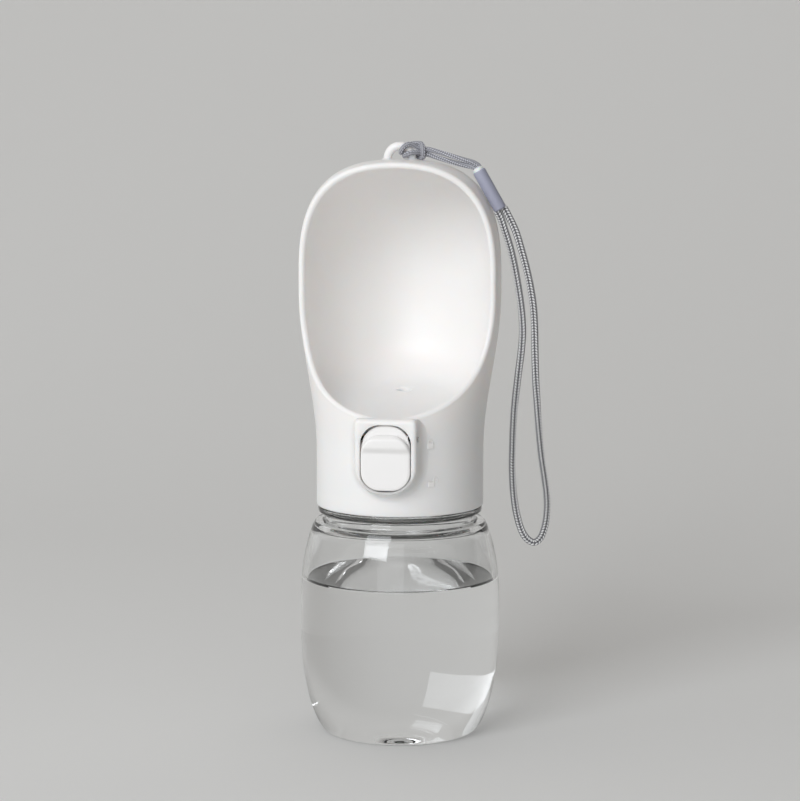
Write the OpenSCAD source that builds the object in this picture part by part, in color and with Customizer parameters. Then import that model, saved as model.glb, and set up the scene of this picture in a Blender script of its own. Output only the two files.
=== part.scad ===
// Dog travel water bottle: a clear bottle with a screw-on head that holds a drinking bowl.
// Pressing the button on the front opens a valve, and water runs into the bowl.
// The front looks along -Y, the bottle stands on z = 0 and its axis is the Z axis.

/* [Bottle] */
// Widest outside diameter of the bottle
bottle_d = 73; // [68:1:80]
// Outside diameter of the ring that the bottle stands on
foot_d = 55; // [50:1:60]
// Height of the widest place
belly_z = 41; // [34:1:48]
// Height of the shoulder's corner
shoulder_z = 77.2; // [70:0.2:90]
// Diameter at the shoulder's corner
shoulder_d = 62.4; // [61.4:0.2:66]
// Thickness of the clear wall
bottle_wall = 2.0; // [1.6:0.1:2.4]
// Height of the hollow under the bottle
punt_h = 2.6; // [1.4:0.2:4]

/* [Neck] */
// Height of the bare neck between shoulder and bead
strip_h = 3.1; // [2:0.1:5]
// Height of the bead under the head
bead_h = 2; // [1.2:0.2:3]
// Height of the neck above the bead
neck_h = 12.2; // [12:0.2:16]
// Rise of the screw thread in one turn
thread_lead = 4; // [3.6:0.1:5]
// Height of the thread ridges
thread_h = 1.2; // [0.9:0.1:1.4]
// Gap between the two threads
thread_gap = 0.5; // [0.3:0.05:0.6]
// Thickness of the neck gasket
gasket_t = 1.4; // [1:0.1:2.4]

/* [Head] */
// Outside diameter of the collar
collar_d = 60.6; // [60:0.2:62]
// How much wider the bowl is than the bottle
bowl_over = 0; // [-2:0.5:4]
// Height over which the collar widens into the bowl
flare_h = 56; // [50:1:62]
// Height of the rounded top
dome_h = 42; // [36:1:48]
// Thickness of the bowl's wall
head_wall = 2.3; // [1.8:0.1:2.8]
// Thickness of the collar's wall round the thread insert
collar_wall = 1.9; // [1.5:0.1:2.2]
// Height from the button's pivot up to the bowl's front lip
lip_rise = 6.4; // [6.2:0.2:8]
// Slope of the bowl's floor in degrees
floor_tilt = 8.5; // [5:0.5:10]
// Thickness of the bowl's floor
floor_t = 2.2; // [1.8:0.1:2.6]
// How far behind the front the side rims stand at mid height
rim_back = 22.5; // [20:0.5:27]
// Diameter of the water outlet in the bowl
outlet_d = 5; // [4:0.2:6]
// Outside width of the lanyard eye
eye_w = 11.8; // [10:0.2:14]
// Thickness of the lanyard eye
eye_t = 3; // [2.4:0.1:3.4]

/* [Button] */
// Width of the button
button_w = 17.3; // [16:0.1:19]
// Height of the button
button_h = 19.6; // [18:0.1:20.4]
// Corner radius of the button
button_r = 6.6; // [5:0.2:8]
// How far the button slides up to lock
lock_travel = 3; // [2:0.2:3.2]
// How many degrees the button turns when pressed
press_angle = 8; // [4:0.5:8]
// Height of the pivot above the valve's axis
press_arm = 8.1; // [7.8:0.1:9.4]
// Diameter of the pivot pin
pin_d = 1.5; // [1.2:0.1:1.6]
// How far forward of the axis the housing's face stands
housing_y = 35; // [34.4:0.2:35.6]
// How far the thumb ledge stands out
ledge_t = 1.2; // [0.6:0.1:1.3]

/* [Valve] */
// Outside diameter of the valve housing
valve_d = 10.4; // [10:0.1:11]
// Wall of the valve housing round the spring chamber
valve_wall = 1.2; // [1:0.1:1.4]
// Diameter of the valve's stem
stem_d = 3; // [2.6:0.1:3.2]
// Diameter of the seat's opening
seat_d = 4.8; // [4.4:0.1:5.2]
// Thickness of the deck that carries the valve
deck_t = 1.8; // [1.6:0.1:2.6]
// Wire diameter of the return spring
spring_wire = 0.5; // [0.4:0.05:0.6]
// Outside diameter of the return spring
spring_d = 5.6; // [5:0.1:6.2]

/* [Lanyard] */
// Diameter of the thin hitch cord
hitch_d = 1.4; // [1.2:0.1:1.6]
// Width of the wrist strap
strap_d = 2.6; // [2.2:0.1:2.8]
// Diameter of the sleeve that joins them
sleeve_d = 5.3; // [5:0.1:5.4]

/* [Fits] */
// Running clearance of pins and shafts in their bores
run_fit = 0.05; // [0.02:0.01:0.1]
// Clearance round pieces that sit in a seat
seat_fit = 0.1; // [0.05:0.01:0.2]
// Gap round the button in its window
button_gap = 0.4; // [0.3:0.05:0.6]

/* [Hidden] */
$fn = 64;
far = 120;               // longer than any piece, for cuts that go right through

// Radii from the collar inwards: collar, thread insert, threads, neck
collar_r = collar_d / 2;
collar_in_r = collar_r - collar_wall;
insert_r = collar_in_r - seat_fit;
insert_wall = 2;
insert_in_r = insert_r - insert_wall;
thread_crest_r = insert_in_r - thread_gap;
neck_r = thread_crest_r - thread_h;
neck_in_r = neck_r - bottle_wall;
insert_crest_r = neck_r + thread_gap;

// Heights from the floor upwards
belly_r = bottle_d / 2;
foot_r = foot_d / 2;
shoulder_r = shoulder_d / 2;
shoulder_rise = 0.6;
strip_z = shoulder_z + shoulder_rise;
bead_z = strip_z + strip_h;
neck_z = bead_z + bead_h;
neck_top = neck_z + neck_h;
deck_z = neck_top + gasket_t;
deck_top = deck_z + deck_t;
head_gap = 0.4;          // between the bead and the collar
collar_z = neck_z + head_gap;
valve_r = valve_d / 2;
valve_z = deck_top + valve_r;
pivot_z = valve_z + press_arm;
lip_z = pivot_z + lip_rise;
floor_z = lip_z - 0.5;
flare_drop = 14;         // the collar starts to widen this far under the lip
flare_z = lip_z - flare_drop;
waist_h = 6;             // upright wall between the flare and the rounded top
dome_z = flare_z + flare_h + waist_h;
dome_top = dome_z + dome_h;
head_r = belly_r + bowl_over / 2;
dome_n = 2.7;            // squareness of the rounded top
flare_steps = 8;
dome_step = 7.5;
bead_r = collar_r - 0.5;
strip_r = 27.5;

// Foot, walls and hollow of the bottle
foot_land = 2.5;
punt_in = 12;            // where the hollow's slope flattens, in from the foot
punt_edge = 4.5;
bottle_floor = 2.4;
inner_in = 10;           // where the inner floor flattens, in from the foot
inner_edge = 3.5;
barrel_steps = 8;
function lower_r(z) =
    foot_r + (belly_r - foot_r) * pow(1 - pow((belly_z - z) / belly_z, 2.2), 2 / 3);
function upper_r(z) =
    belly_r - (belly_r - shoulder_r) * pow((z - belly_z) / (shoulder_z - belly_z), 2.8);
function barrel_r(z) = z < belly_z ? lower_r(z) : upper_r(z);
// Steps crowd together near the foot, where the wall curves most
lower_zs = [for (i = [1:barrel_steps]) belly_z * pow(i / barrel_steps, 2)];
upper_zs = [for (i = [1:barrel_steps])
    belly_z + (shoulder_z - belly_z) * sin(90 * i / barrel_steps)];
barrel_zs = concat(lower_zs, upper_zs);
inner_floor_z = punt_h + bottle_floor;
inner_foot_z = 4.2;
inner_shoulder_z = shoulder_z - 1;

module bottle_shell() {
    outer = concat([[0, punt_h], [foot_r - punt_in, punt_h * 0.9],
        [foot_r - punt_edge, punt_h * 0.35],
        [foot_r - foot_land, 0], [foot_r, 0]],
        [for (z = barrel_zs) [barrel_r(z), z]],
        [[shoulder_r - 1.4, strip_z], [strip_r, strip_z], [strip_r, bead_z],
        [bead_r - 0.3, bead_z], [bead_r, bead_z + 0.4], [bead_r, neck_z - 0.4],
        [bead_r - 0.4, neck_z], [neck_r, neck_z], [neck_r, neck_top - 0.5],
        [neck_r - 0.5, neck_top]]);
    inner = concat([[neck_in_r, neck_top], [neck_in_r, neck_z], [strip_r - bottle_wall, bead_z],
        [strip_r - bottle_wall, strip_z]],
        [for (i = [len(barrel_zs) - 1:-1:0])
            if (barrel_zs[i] > inner_foot_z + 2 && barrel_zs[i] < inner_shoulder_z)
                [barrel_r(barrel_zs[i]) - bottle_wall, barrel_zs[i]]],
        [[foot_r - 0.6, inner_foot_z + 1.6], [foot_r - inner_edge, inner_foot_z],
        [foot_r - inner_in, inner_floor_z - 0.2], [0, inner_floor_z]]);
    rotate_extrude() polygon(concat(outer, inner));
}

// Triangles that join a row of rings, each ring turning the same way round its path
module skin(rings) {
    sides = len(rings[0]);
    last = len(rings) - 1;
    points = [for (ring = rings) each ring];
    walls = [for (i = [0:last - 1], j = [0:sides - 1]) let (k = (j + 1) % sides)
        each [[i * sides + j, (i + 1) * sides + j, (i + 1) * sides + k],
            [i * sides + j, (i + 1) * sides + k, i * sides + k]]];
    start_cap = [for (j = [1:sides - 2]) [0, j, j + 1]];
    end_cap = [for (j = [1:sides - 2]) [last * sides, last * sides + j + 1, last * sides + j]];
    polyhedron(points = points, faces = concat(walls, start_cap, end_cap), convexity = 6);
}

// One ridge of a right-handed thread, from root_r to crest_r, that starts at height z0
thread_steps = 30;
ridge_root_w = 1.8;
ridge_crest_w = 0.8;
ridge_root_depth = 0.6;  // how deep the ridge is rooted in its wall
function ridge_ring(a, z, root, crest) = let (c = cos(a), s = sin(a), out = crest > root)
    let (ring = [[root * c, root * s, z - ridge_root_w / 2],
        [crest * c, crest * s, z - ridge_crest_w / 2],
        [crest * c, crest * s, z + ridge_crest_w / 2],
        [root * c, root * s, z + ridge_root_w / 2]])
    out ? [ring[3], ring[2], ring[1], ring[0]] : ring;
module thread_ridge(wall_r, crest_r, z0, turns) {
    root = crest_r > wall_r ? wall_r - ridge_root_depth : wall_r + ridge_root_depth;
    steps = thread_steps * turns;
    skin([for (i = [0:steps])
        let (fade = min(1, (i + 1) / 4, (steps - i + 1) / 4))
        ridge_ring(360 * i / thread_steps, z0 + thread_lead * i / thread_steps,
            root, root + (crest_r - root) * (0.5 + 0.5 * fade))]);
}

// Neck thread: its ridge starts above the bead, and the insert's runs half a lead higher
neck_thread_z = neck_z + 2.7;
neck_thread_turns = 1.8;
insert_thread_turns = 1.5;
module bottle_body() {
    color([0.86, 0.89, 0.9, 0.4]) {
        bottle_shell();
        thread_ridge(neck_r, thread_crest_r, neck_thread_z, neck_thread_turns);
    }
}

// Flat silicone ring between the neck's rim and the deck
module neck_gasket() {
    color([0.85, 0.85, 0.84])
        translate([0, 0, neck_top]) difference() {
            cylinder(r = insert_in_r - seat_fit, h = gasket_t);
            translate([0, 0, -1]) cylinder(r = neck_in_r + 0.2, h = gasket_t + 2);
        }
}

// Screw ring and deck, moulded in one: the ring screws on the neck, the deck carries the valve
insert_inset = 1;        // the ring ends this far up in the collar
insert_z = collar_z + insert_inset;
inlet_r = 2;
inlet_seal_r = 4.2;
inlet_seal_t = 0.8;
lug_x = 11;
lug_y = 4;
screw_r = 1;
screw_boss_r = 2.6;
screw_l = 5;
lug_r = 3;
base_t = 1.6;            // thickness of the valve housing's foot
boss_floor = 1;          // left under each screw's tip
boss_drop = screw_l - base_t - deck_t + boss_floor;
module thread_insert() {
    color([0.93, 0.93, 0.92]) {
        difference() {
            translate([0, 0, insert_z]) cylinder(r = insert_r, h = deck_top - insert_z);
            translate([0, 0, insert_z - 1]) cylinder(r = insert_in_r, h = deck_z - insert_z + 1);
            translate([0, inlet_y, deck_z - 1]) cylinder(r = inlet_r, h = deck_t + 2);
            translate([0, inlet_y, deck_top - inlet_seal_t])
                cylinder(r = inlet_seal_r + seat_fit, h = inlet_seal_t + 1);
            for (side = [-1, 1])
                translate([side * lug_x, lug_y, deck_z - 1])
                    cylinder(r = screw_r + run_fit, h = deck_t + 2);
        }
        for (side = [-1, 1])
            translate([side * lug_x, lug_y, deck_z - boss_drop]) difference() {
                cylinder(r = screw_boss_r, h = boss_drop);
                translate([0, 0, boss_floor]) cylinder(r = screw_r + run_fit, h = boss_drop);
            }
        thread_ridge(insert_in_r, insert_crest_r, neck_thread_z + thread_lead / 2,
            insert_thread_turns);
    }
}

// Outline of the head, a given wall thickness inside its outer surface
function ease(u) = u <= 0 ? 0 : u >= 1 ? 1 : u * u * (3 - 2 * u);
function head_out_r(z) = collar_r + (head_r - collar_r) * ease((z - flare_z) / flare_h);
module head_solid(wall) {
    side = [for (i = [0:flare_steps]) let (z = flare_z + flare_h * i / flare_steps)
        [head_out_r(z) - wall, z]];
    dome = [for (a = [0:dome_step:90 - dome_step])
        [(head_r - wall) * pow(cos(a), 2 / dome_n),
            dome_z + (dome_h - wall) * pow(sin(a), 2 / dome_n)]];
    rotate_extrude() polygon(concat([[0, collar_z], [collar_r - wall, collar_z]], side, dome,
        [[0, dome_z + dome_h - wall]]));
}

// Everything under the bowl's floor, lowered by drop
module under_floor(drop) {
    translate([0, -head_out_r(floor_z), floor_z - drop]) rotate([floor_tilt, 0, 0])
        translate([-far / 2, -far / 4, -far]) cube([far, far, far]);
}

// Cuts the front open: the side rims swing back from the lip and lean forward at the top
rim_rise = 37;           // from the lip up to the end of the lower curve
rim_z = lip_z + rim_rise;
rim_lean = 4.4;
rim_steps = 10;
rim_y = -head_out_r(lip_z) + rim_back;
function low_rim(u) = [rim_y - rim_back * pow(1 - u, 2.4), lip_z + (rim_z - lip_z) * u];
rim_straight = 8;
function high_rim(u) = [rim_y - rim_lean * u * u,
    rim_z + rim_straight + (dome_top + 1 - rim_z - rim_straight) * u];
module front_cut() {
    rotate([90, 0, 90]) linear_extrude(far, center = true)
        polygon(concat([[-far, lip_z]],
            [for (i = [0:rim_steps]) low_rim(i / rim_steps)],
            [for (i = [0:rim_steps / 2]) high_rim(i / (rim_steps / 2))],
            [[rim_y - rim_lean, dome_top + far], [-far, dome_top + far]]));
}

// A flat shape drawn as seen from the front, between y = front and y = back
module facing(front, back) {
    translate([0, back, 0]) rotate([90, 0, 0]) linear_extrude(back - front) children();
}
module rounded_rect(w, z0, z1, r) {
    translate([-w / 2 + r, z0]) square([w - 2 * r, z1 - z0]);
    translate([-w / 2, z0 + r]) square([w, z1 - z0 - 2 * r]);
    for (x = [-w / 2 + r, w / 2 - r], z = [z0 + r, z1 - r]) translate([x, z]) circle(r);
}

// Button window, its housing and its stop
pivot_back = 2.7;        // pivot axis behind the housing's face
pivot_y = -housing_y + pivot_back;
cap_t = 1.6;
carrier_t = 1.9;
cap_proud = 0.2;
cap_y = -housing_y - cap_proud;
carrier_y = cap_y + cap_t + seat_fit;
carrier_back = carrier_y + carrier_t;
cap_rise = 1.4;          // button's top above the pivot
cap_top = pivot_z + cap_rise;
cap_z = cap_top - button_h;
window_w = button_w + 2 * button_gap;
end_gap = 0.2;           // more room at the window's two ends
window_z = cap_z - button_gap - end_gap;
window_top = cap_top + lock_travel + button_gap + end_gap;
window_r = button_r + button_gap;
housing_side = 1.9;
housing_foot = 1;
housing_r = 10;
housing_top = lip_z + 0.3;
housing_root = 3;        // how deep the housing is rooted in the collar's wall
stop_z = pivot_z + 2.2;  // below this height the window opens into the collar's chamber
barrel_wall = 0.4;       // round the pin in the carrier
pin_inset = 0.2;         // pin's ends inside the housing's sides
pin_l = window_w + 2 * (housing_side - pin_inset);
pin_fit = 0.02;          // the pin is a press fit in the housing

module housing_block() {
    w = window_w + 2 * housing_side;
    z0 = window_z - housing_foot;
    facing(-housing_y, -collar_in_r + housing_root) {
        rounded_rect(w, z0, housing_top, housing_r);
        translate([-w / 2, z0 + housing_r]) square([w, housing_top - z0 - housing_r]);
    }
}
module window_cuts() {
    facing(-housing_y - 1, carrier_back + seat_fit)
        rounded_rect(window_w, window_z, window_top, window_r);
    facing(carrier_back, -collar_in_r + 2 * housing_root)
        intersection() {
            rounded_rect(window_w, window_z, window_top, window_r);
            translate([-window_w, window_z]) square([2 * window_w, stop_z - window_z]);
        }
    translate([-far / 2, pivot_y, pivot_z]) rotate([0, 90, 0])
        cylinder(r = pin_d / 2 + pin_fit, h = far);
}

// Water path up from the valve into the bowl
outlet_y = 11;
riser_r = 3.6;
riser_in_r = 2.2;
riser_h = 13.2;          // from the valve's axis up to the grommet
riser_top = valve_z + riser_h;
grommet_t = 1;
boss_z = riser_top + grommet_t;
boss_r = 4.8;
outlet_cut = 12;         // well past the floor

ledge_in = 1.4;          // width of the ring that the deck seats against
eye_y = 0;
eye_r = (eye_w - eye_t) / 2;
eye_z = dome_top + 0.4;
module head_shell() {
    color([0.93, 0.93, 0.94]) difference() {
        union() {
            difference() {
                head_solid(0);
                front_cut();
            }
            housing_block();
            translate([0, eye_y, eye_z]) rotate([90, 0, 0])
                rotate_extrude() translate([eye_r, 0]) circle(eye_t / 2, $fn = 32);
        }
        // bowl
        difference() {
            head_solid(head_wall);
            under_floor(0);
        }
        // chamber above the deck, with the boss round the outlet left standing
        difference() {
            intersection() {
                head_solid(head_wall);
                under_floor(floor_t);
            }
            translate([0, 0, collar_z - 1]) cylinder(r = far, h = deck_top + 2 - collar_z + 1);
            translate([0, outlet_y, boss_z]) cylinder(r = boss_r, h = far);
        }
        translate([0, 0, deck_top]) cylinder(r = collar_in_r - ledge_in, h = 2);
        // seat of the thread insert
        translate([0, 0, collar_z - 1]) cylinder(r = collar_in_r, h = deck_top - collar_z + 1);
        // outlet
        translate([0, outlet_y, boss_z - 1]) cylinder(d = outlet_d, h = outlet_cut);
        window_cuts();
    }
}

// A round bar along Y on the valve's axis
module along_valve(y0, y1, r) {
    translate([0, y0, valve_z]) rotate([-90, 0, 0]) cylinder(r = r, h = y1 - y0);
}

// Stations along the valve: its back end clears the collar's ledge, and the rest follows
gland_y = -14;
web_y = -10;
web_t = 2;
seat_t = 2;
stem_r = stem_d / 2;
gland_r = 3.2;
passage_r = 3;
chamber_r = valve_r - valve_wall;
poppet_r = 3.4;
poppet_seal_t = 1.2;
poppet_t = 1.2;
plug_t = 2;
flange_t = 1.2;
flange_gap = 0.2;        // between the rear plug and the ledge
spring_turns = 4;
spring_slack = 0.85;     // left between the curls when the button is pressed
stem_travel = press_arm * sin(press_angle);
valve_back = sqrt(pow(collar_in_r - ledge_in, 2) - pow(valve_r, 2)) - flange_gap - flange_t;
plug_y = valve_back - plug_t;
poppet_back = plug_y - spring_turns * spring_wire - stem_travel - spring_slack;
seat_face = poppet_back - poppet_t - poppet_seal_t;
seat_y = seat_face - seat_t;
inlet_y = (poppet_back + plug_y) / 2 - 1.5;

// Housing with its foot on the deck, screw lugs and riser to the bowl
foot_w = 10;
module valve_housing() {
    color([0.8, 0.82, 0.84]) difference() {
        union() {
            along_valve(gland_y, valve_back, valve_r);
            translate([-foot_w / 2, gland_y, deck_top])
                cube([foot_w, valve_back - gland_y, base_t]);
            for (side = [-1, 1]) translate([side * lug_x, lug_y, deck_top])
                cylinder(r = lug_r, h = base_t);
            translate([-lug_x, lug_y - lug_r, deck_top]) cube([2 * lug_x, 2 * lug_r, base_t]);
            translate([0, outlet_y, valve_z]) cylinder(r = riser_r, h = riser_top - valve_z);
        }
        along_valve(gland_y - 1, web_y, gland_r);
        along_valve(gland_y - 1, valve_back, stem_r + run_fit);
        along_valve(web_y + web_t, seat_y, passage_r);
        along_valve(seat_y - 1, seat_face + 1, seat_d / 2);
        along_valve(seat_face, valve_back + 1, chamber_r);
        translate([0, outlet_y, valve_z]) cylinder(r = riser_in_r, h = far);
        translate([0, inlet_y, deck_top - 1]) cylinder(r = inlet_r, h = valve_r);
        for (side = [-1, 1]) translate([side * lug_x, lug_y, deck_top - 1])
            cylinder(r = screw_r + run_fit, h = base_t + 2);
    }
}

screw_head_r = 1.9;
screw_head_h = 1.2;
slot_w = 0.5;
slot_l = 2.6;
module valve_screws() {
    color([0.72, 0.73, 0.75]) for (side = [-1, 1])
        translate([side * lug_x, lug_y, deck_top + base_t]) difference() {
            union() {
                translate([0, 0, -screw_l]) cylinder(r = screw_r, h = screw_l + slot_w);
                cylinder(r = screw_head_r, h = screw_head_h);
            }
            translate([-slot_w / 2, -slot_l / 2, screw_head_h / 2])
                cube([slot_w, slot_l, screw_head_h]);
            translate([-slot_l / 2, -slot_w / 2, screw_head_h / 2])
                cube([slot_l, slot_w, screw_head_h]);
        }
}

// Front bush that holds the stem's seal in its pocket
gland_lip = 1;
gland_step = 0.8;        // the lip is this much smaller than the housing
stem_seal_r = 0.75;
ring_gap = 0.1;          // beside a seal in its groove
module stem_gland() {
    color([0.8, 0.82, 0.84]) difference() {
        union() {
            along_valve(gland_y, web_y - 2 * (stem_seal_r + ring_gap), gland_r - seat_fit);
            along_valve(gland_y - gland_lip, gland_y, valve_r - gland_step);
        }
        along_valve(gland_y - gland_lip - 1, web_y, stem_r + run_fit);
    }
}
module o_ring(y, mid_r, r) {
    translate([0, y, valve_z]) rotate([90, 0, 0])
        rotate_extrude() translate([mid_r, 0]) circle(r, $fn = 32);
}
module stem_seal() {
    color([0.2, 0.2, 0.2]) o_ring(web_y - stem_seal_r - ring_gap, stem_r + run_fit + stem_seal_r,
        stem_seal_r);
}
module inlet_seal() {
    color([0.2, 0.2, 0.2]) translate([0, inlet_y, deck_top - inlet_seal_t]) difference() {
        cylinder(r = inlet_seal_r, h = inlet_seal_t);
        translate([0, 0, -1]) cylinder(r = inlet_r + 0.3, h = inlet_seal_t + 2);
    }
}
module outlet_grommet() {
    color([0.85, 0.85, 0.84]) translate([0, outlet_y, riser_top]) difference() {
        cylinder(r = riser_r + 0.6, h = grommet_t);
        translate([0, 0, -1]) cylinder(r = riser_in_r, h = grommet_t + 2);
    }
}

// Rear plug: closes the spring's chamber and carries its seal in a groove
groove_y = plug_y + plug_t / 2;
plug_seal_r = 0.5;
module end_cap() {
    color([0.8, 0.82, 0.84]) difference() {
        union() {
            along_valve(plug_y, valve_back, chamber_r - seat_fit);
            along_valve(valve_back, valve_back + flange_t, valve_r);
        }
        difference() {
            along_valve(groove_y - plug_seal_r - ring_gap, groove_y + plug_seal_r + ring_gap,
                valve_r);
            along_valve(plug_y - 1, valve_back + 1, chamber_r - 2 * plug_seal_r - ring_gap);
        }
    }
}
module end_cap_seal() {
    color([0.2, 0.2, 0.2]) o_ring(groove_y, chamber_r - plug_seal_r - ring_gap / 2, plug_seal_r);
}

// Stem with the poppet behind the seat; its rubber washer seals against the seat
nose_l = 5.1;            // from the pivot's axis back to the nose's tip
nose_y = pivot_y + nose_l;
nose_gap = 0.1;
module valve_plunger() {
    color([0.9, 0.9, 0.9]) {
        along_valve(nose_y + nose_gap, poppet_back - poppet_t / 2, stem_r);
        along_valve(seat_face + poppet_seal_t, poppet_back, poppet_r);
    }
}
module poppet_seal() {
    color([0.2, 0.2, 0.2]) difference() {
        along_valve(seat_face, seat_face + poppet_seal_t, poppet_r);
        along_valve(seat_face - 1, seat_face + poppet_seal_t + 1, stem_r);
    }
}

// Compression spring between the poppet and the plug, one unbroken wire
spring_sides = 6;
spring_rings = 8;
spring_mid_r = (spring_d - spring_wire) / 2;
spring_y0 = poppet_back + spring_wire / 2 + run_fit;
spring_y1 = plug_y - spring_wire / 2 - run_fit;
spring_pitch = (spring_y1 - spring_y0) / spring_turns;
echo("least gap between the spring's curls", spring_pitch - spring_wire);
function spring_ring(i) = let (a = 360 * i / spring_rings,
        y = spring_y0 + spring_pitch * i / spring_rings)
    [for (j = [0:spring_sides - 1]) let (b = 360 * j / spring_sides,
            r = spring_mid_r + spring_wire / 2 * cos(b))
        [r * cos(a), y + spring_wire / 2 * sin(b), valve_z + r * sin(a)]];
module return_spring() {
    color([0.75, 0.76, 0.78])
        skin([for (i = [0:spring_turns * spring_rings]) spring_ring(i)]);
}

module pivot_pin() {
    color([0.75, 0.76, 0.78]) translate([-pin_l / 2, pivot_y, pivot_z]) rotate([0, 90, 0])
        cylinder(d = pin_d, h = pin_l);
}

// Carrier: turns on the pin, pushes the stem with its nose, and guides the sliding button
hook_x = 5;
hook_w = 2;
hook_h = 4;
hook_drop = 10.6;        // hooks' foot under the button's top
hook_z = cap_top - hook_drop;
hook_gap = 0.15;
carrier_z = cap_z + end_gap;
carrier_top = cap_top + lock_travel + end_gap;
nose_r = 2;
barrel_r = pin_d / 2 + run_fit + barrel_wall;
module carrier_plate() {
    facing(carrier_y, carrier_back) rounded_rect(button_w, carrier_z, carrier_top, button_r);
    // the barrel round the pin ends at the plate's own outline
    intersection() {
        translate([-button_w / 2, pivot_y, pivot_z]) rotate([0, 90, 0])
            cylinder(r = barrel_r, h = button_w);
        facing(carrier_y, pivot_y + 2 * barrel_r)
            rounded_rect(button_w, carrier_z, carrier_top, button_r);
    }
}
module button_carrier() {
    color([0.9, 0.9, 0.91]) difference() {
        union() {
            carrier_plate();
            along_valve(carrier_back - carrier_t / 2, nose_y - nose_r, nose_r);
            translate([0, nose_y - nose_r, valve_z]) sphere(nose_r);
        }
        translate([-far / 2, pivot_y, pivot_z]) rotate([0, 90, 0])
            cylinder(r = pin_d / 2 + run_fit, h = far);
        for (side = [-1, 1])
            facing(carrier_y - 1, carrier_back + 1)
                translate([side * hook_x - hook_w / 2 - hook_gap, hook_z - hook_gap])
                    square([hook_w + 2 * hook_gap, hook_h + lock_travel + 2 * hook_gap]);
    }
}

// Sliding button with its thumb ledge; two hooks reach through the carrier
ledge_h = 5.1;
ledge_edge = 0.3;        // between the ledge's top and the button's
ledge_z = cap_top - ledge_edge - ledge_h;
hook_head_w = 3.4;
hook_head_t = 0.8;
module button_cap() {
    color([0.95, 0.95, 0.96]) {
        facing(cap_y, cap_y + cap_t) rounded_rect(button_w, cap_z, cap_top, button_r);
        facing(cap_y - ledge_t, cap_y + cap_t / 2) intersection() {
            rounded_rect(button_w, cap_z, cap_top, button_r);
            translate([-button_w, ledge_z]) square([2 * button_w, ledge_h]);
        }
        for (side = [-1, 1]) {
            facing(cap_y + cap_t / 2, carrier_back + hook_gap)
                translate([side * hook_x - hook_w / 2, hook_z]) square([hook_w, hook_h]);
            facing(carrier_back + hook_gap, carrier_back + hook_gap + hook_head_t)
                translate([side * hook_x - hook_head_w / 2, hook_z])
                    square([hook_head_w, hook_h]);
        }
    }
}

// Lanyard: points are [across, towards the back, up], turned a little about the bottle's axis
lanyard_turn = 8.5;
cord_sides = 8;
function turned(p) = [p[0] * cos(lanyard_turn) - p[1] * sin(lanyard_turn),
    p[0] * sin(lanyard_turn) + p[1] * cos(lanyard_turn), p[2]];
function unit(v) = v / norm(v);
function heading(path, i) = unit(path[min(i + 1, len(path) - 1)] - path[max(i - 1, 0)]);
// Side directions carried along the path so that the rings don't twist
function sides_of(path, i = 0, last = [0, 1, 0]) = i == len(path) ? [] :
    let (h = heading(path, i), side = unit(last - (last * h) * h))
    concat([side], sides_of(path, i + 1, side));
module cord(path, d) {
    side = sides_of(path);
    skin([for (i = [0:len(path) - 1]) let (h = heading(path, i), up = cross(h, side[i]))
        [for (j = [0:cord_sides - 1]) let (a = 360 * (j + 0.5) / cord_sides)
            path[i] + d / 2 * (cos(a) * side[i] + sin(a) * up)]]);
}

sleeve_top = [27.9, -8, 204.3];
sleeve_foot = [35.7, -8, 190.5];
sleeve_dir = unit(sleeve_foot - sleeve_top);
sleeve_side = unit(cross([0, 1, 0], sleeve_dir));

// From the sleeve to the eye in a cow hitch: through the eye from the front, behind the bar,
// as a bight round both strands, behind the bar again, out through the eye and back
hitch_path = [[27.2, -8, 203.9], [26.7, -8, 204.8], [25.5, -7.6, 205.5], [22.5, -6.4, 206.2],
    [19.2, -5.1, 207], [12.8, -2.7, 208.9], [10, -1.8, 209.8], [7.6, -1.2, 210.4],
    [5.4, -2.4, 210.6], [3.4, -3.1, 210.2], [2, -2.2, 209.6], [1.6, -0.4, 209.2],
    [2.4, 1.4, 209.4], [4, 2, 209.8], [5.7, 1.6, 209.4], [6.9, 0.7, 208.9],
    [8, -0.9, 208.6], [8.3, -2.6, 209.1], [8.3, -3.2, 210.4], [8.2, -3.2, 211.8],
    [7.9, -2.3, 213.2], [7, -0.7, 213.7], [5.8, 0.5, 213.7], [4.3, 1.6, 213.5],
    [2.9, 2.2, 213], [1.6, 2.1, 211.9], [0.7, 1, 210.7], [0.4, -0.6, 210.4],
    [0.5, -2.1, 211], [1.3, -2.9, 212.4], [2.7, -2.8, 213.4], [4.3, -2.1, 213.3],
    [5.8, -1.4, 212.5], [7.7, -1.2, 211.9], [10.2, -2.3, 211.6], [15.5, -4.4, 210.2],
    [21.8, -6.8, 208.3], [26.2, -7.9, 207], [27.9, -8, 205.9], [28.6, -8, 204.7]];

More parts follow.
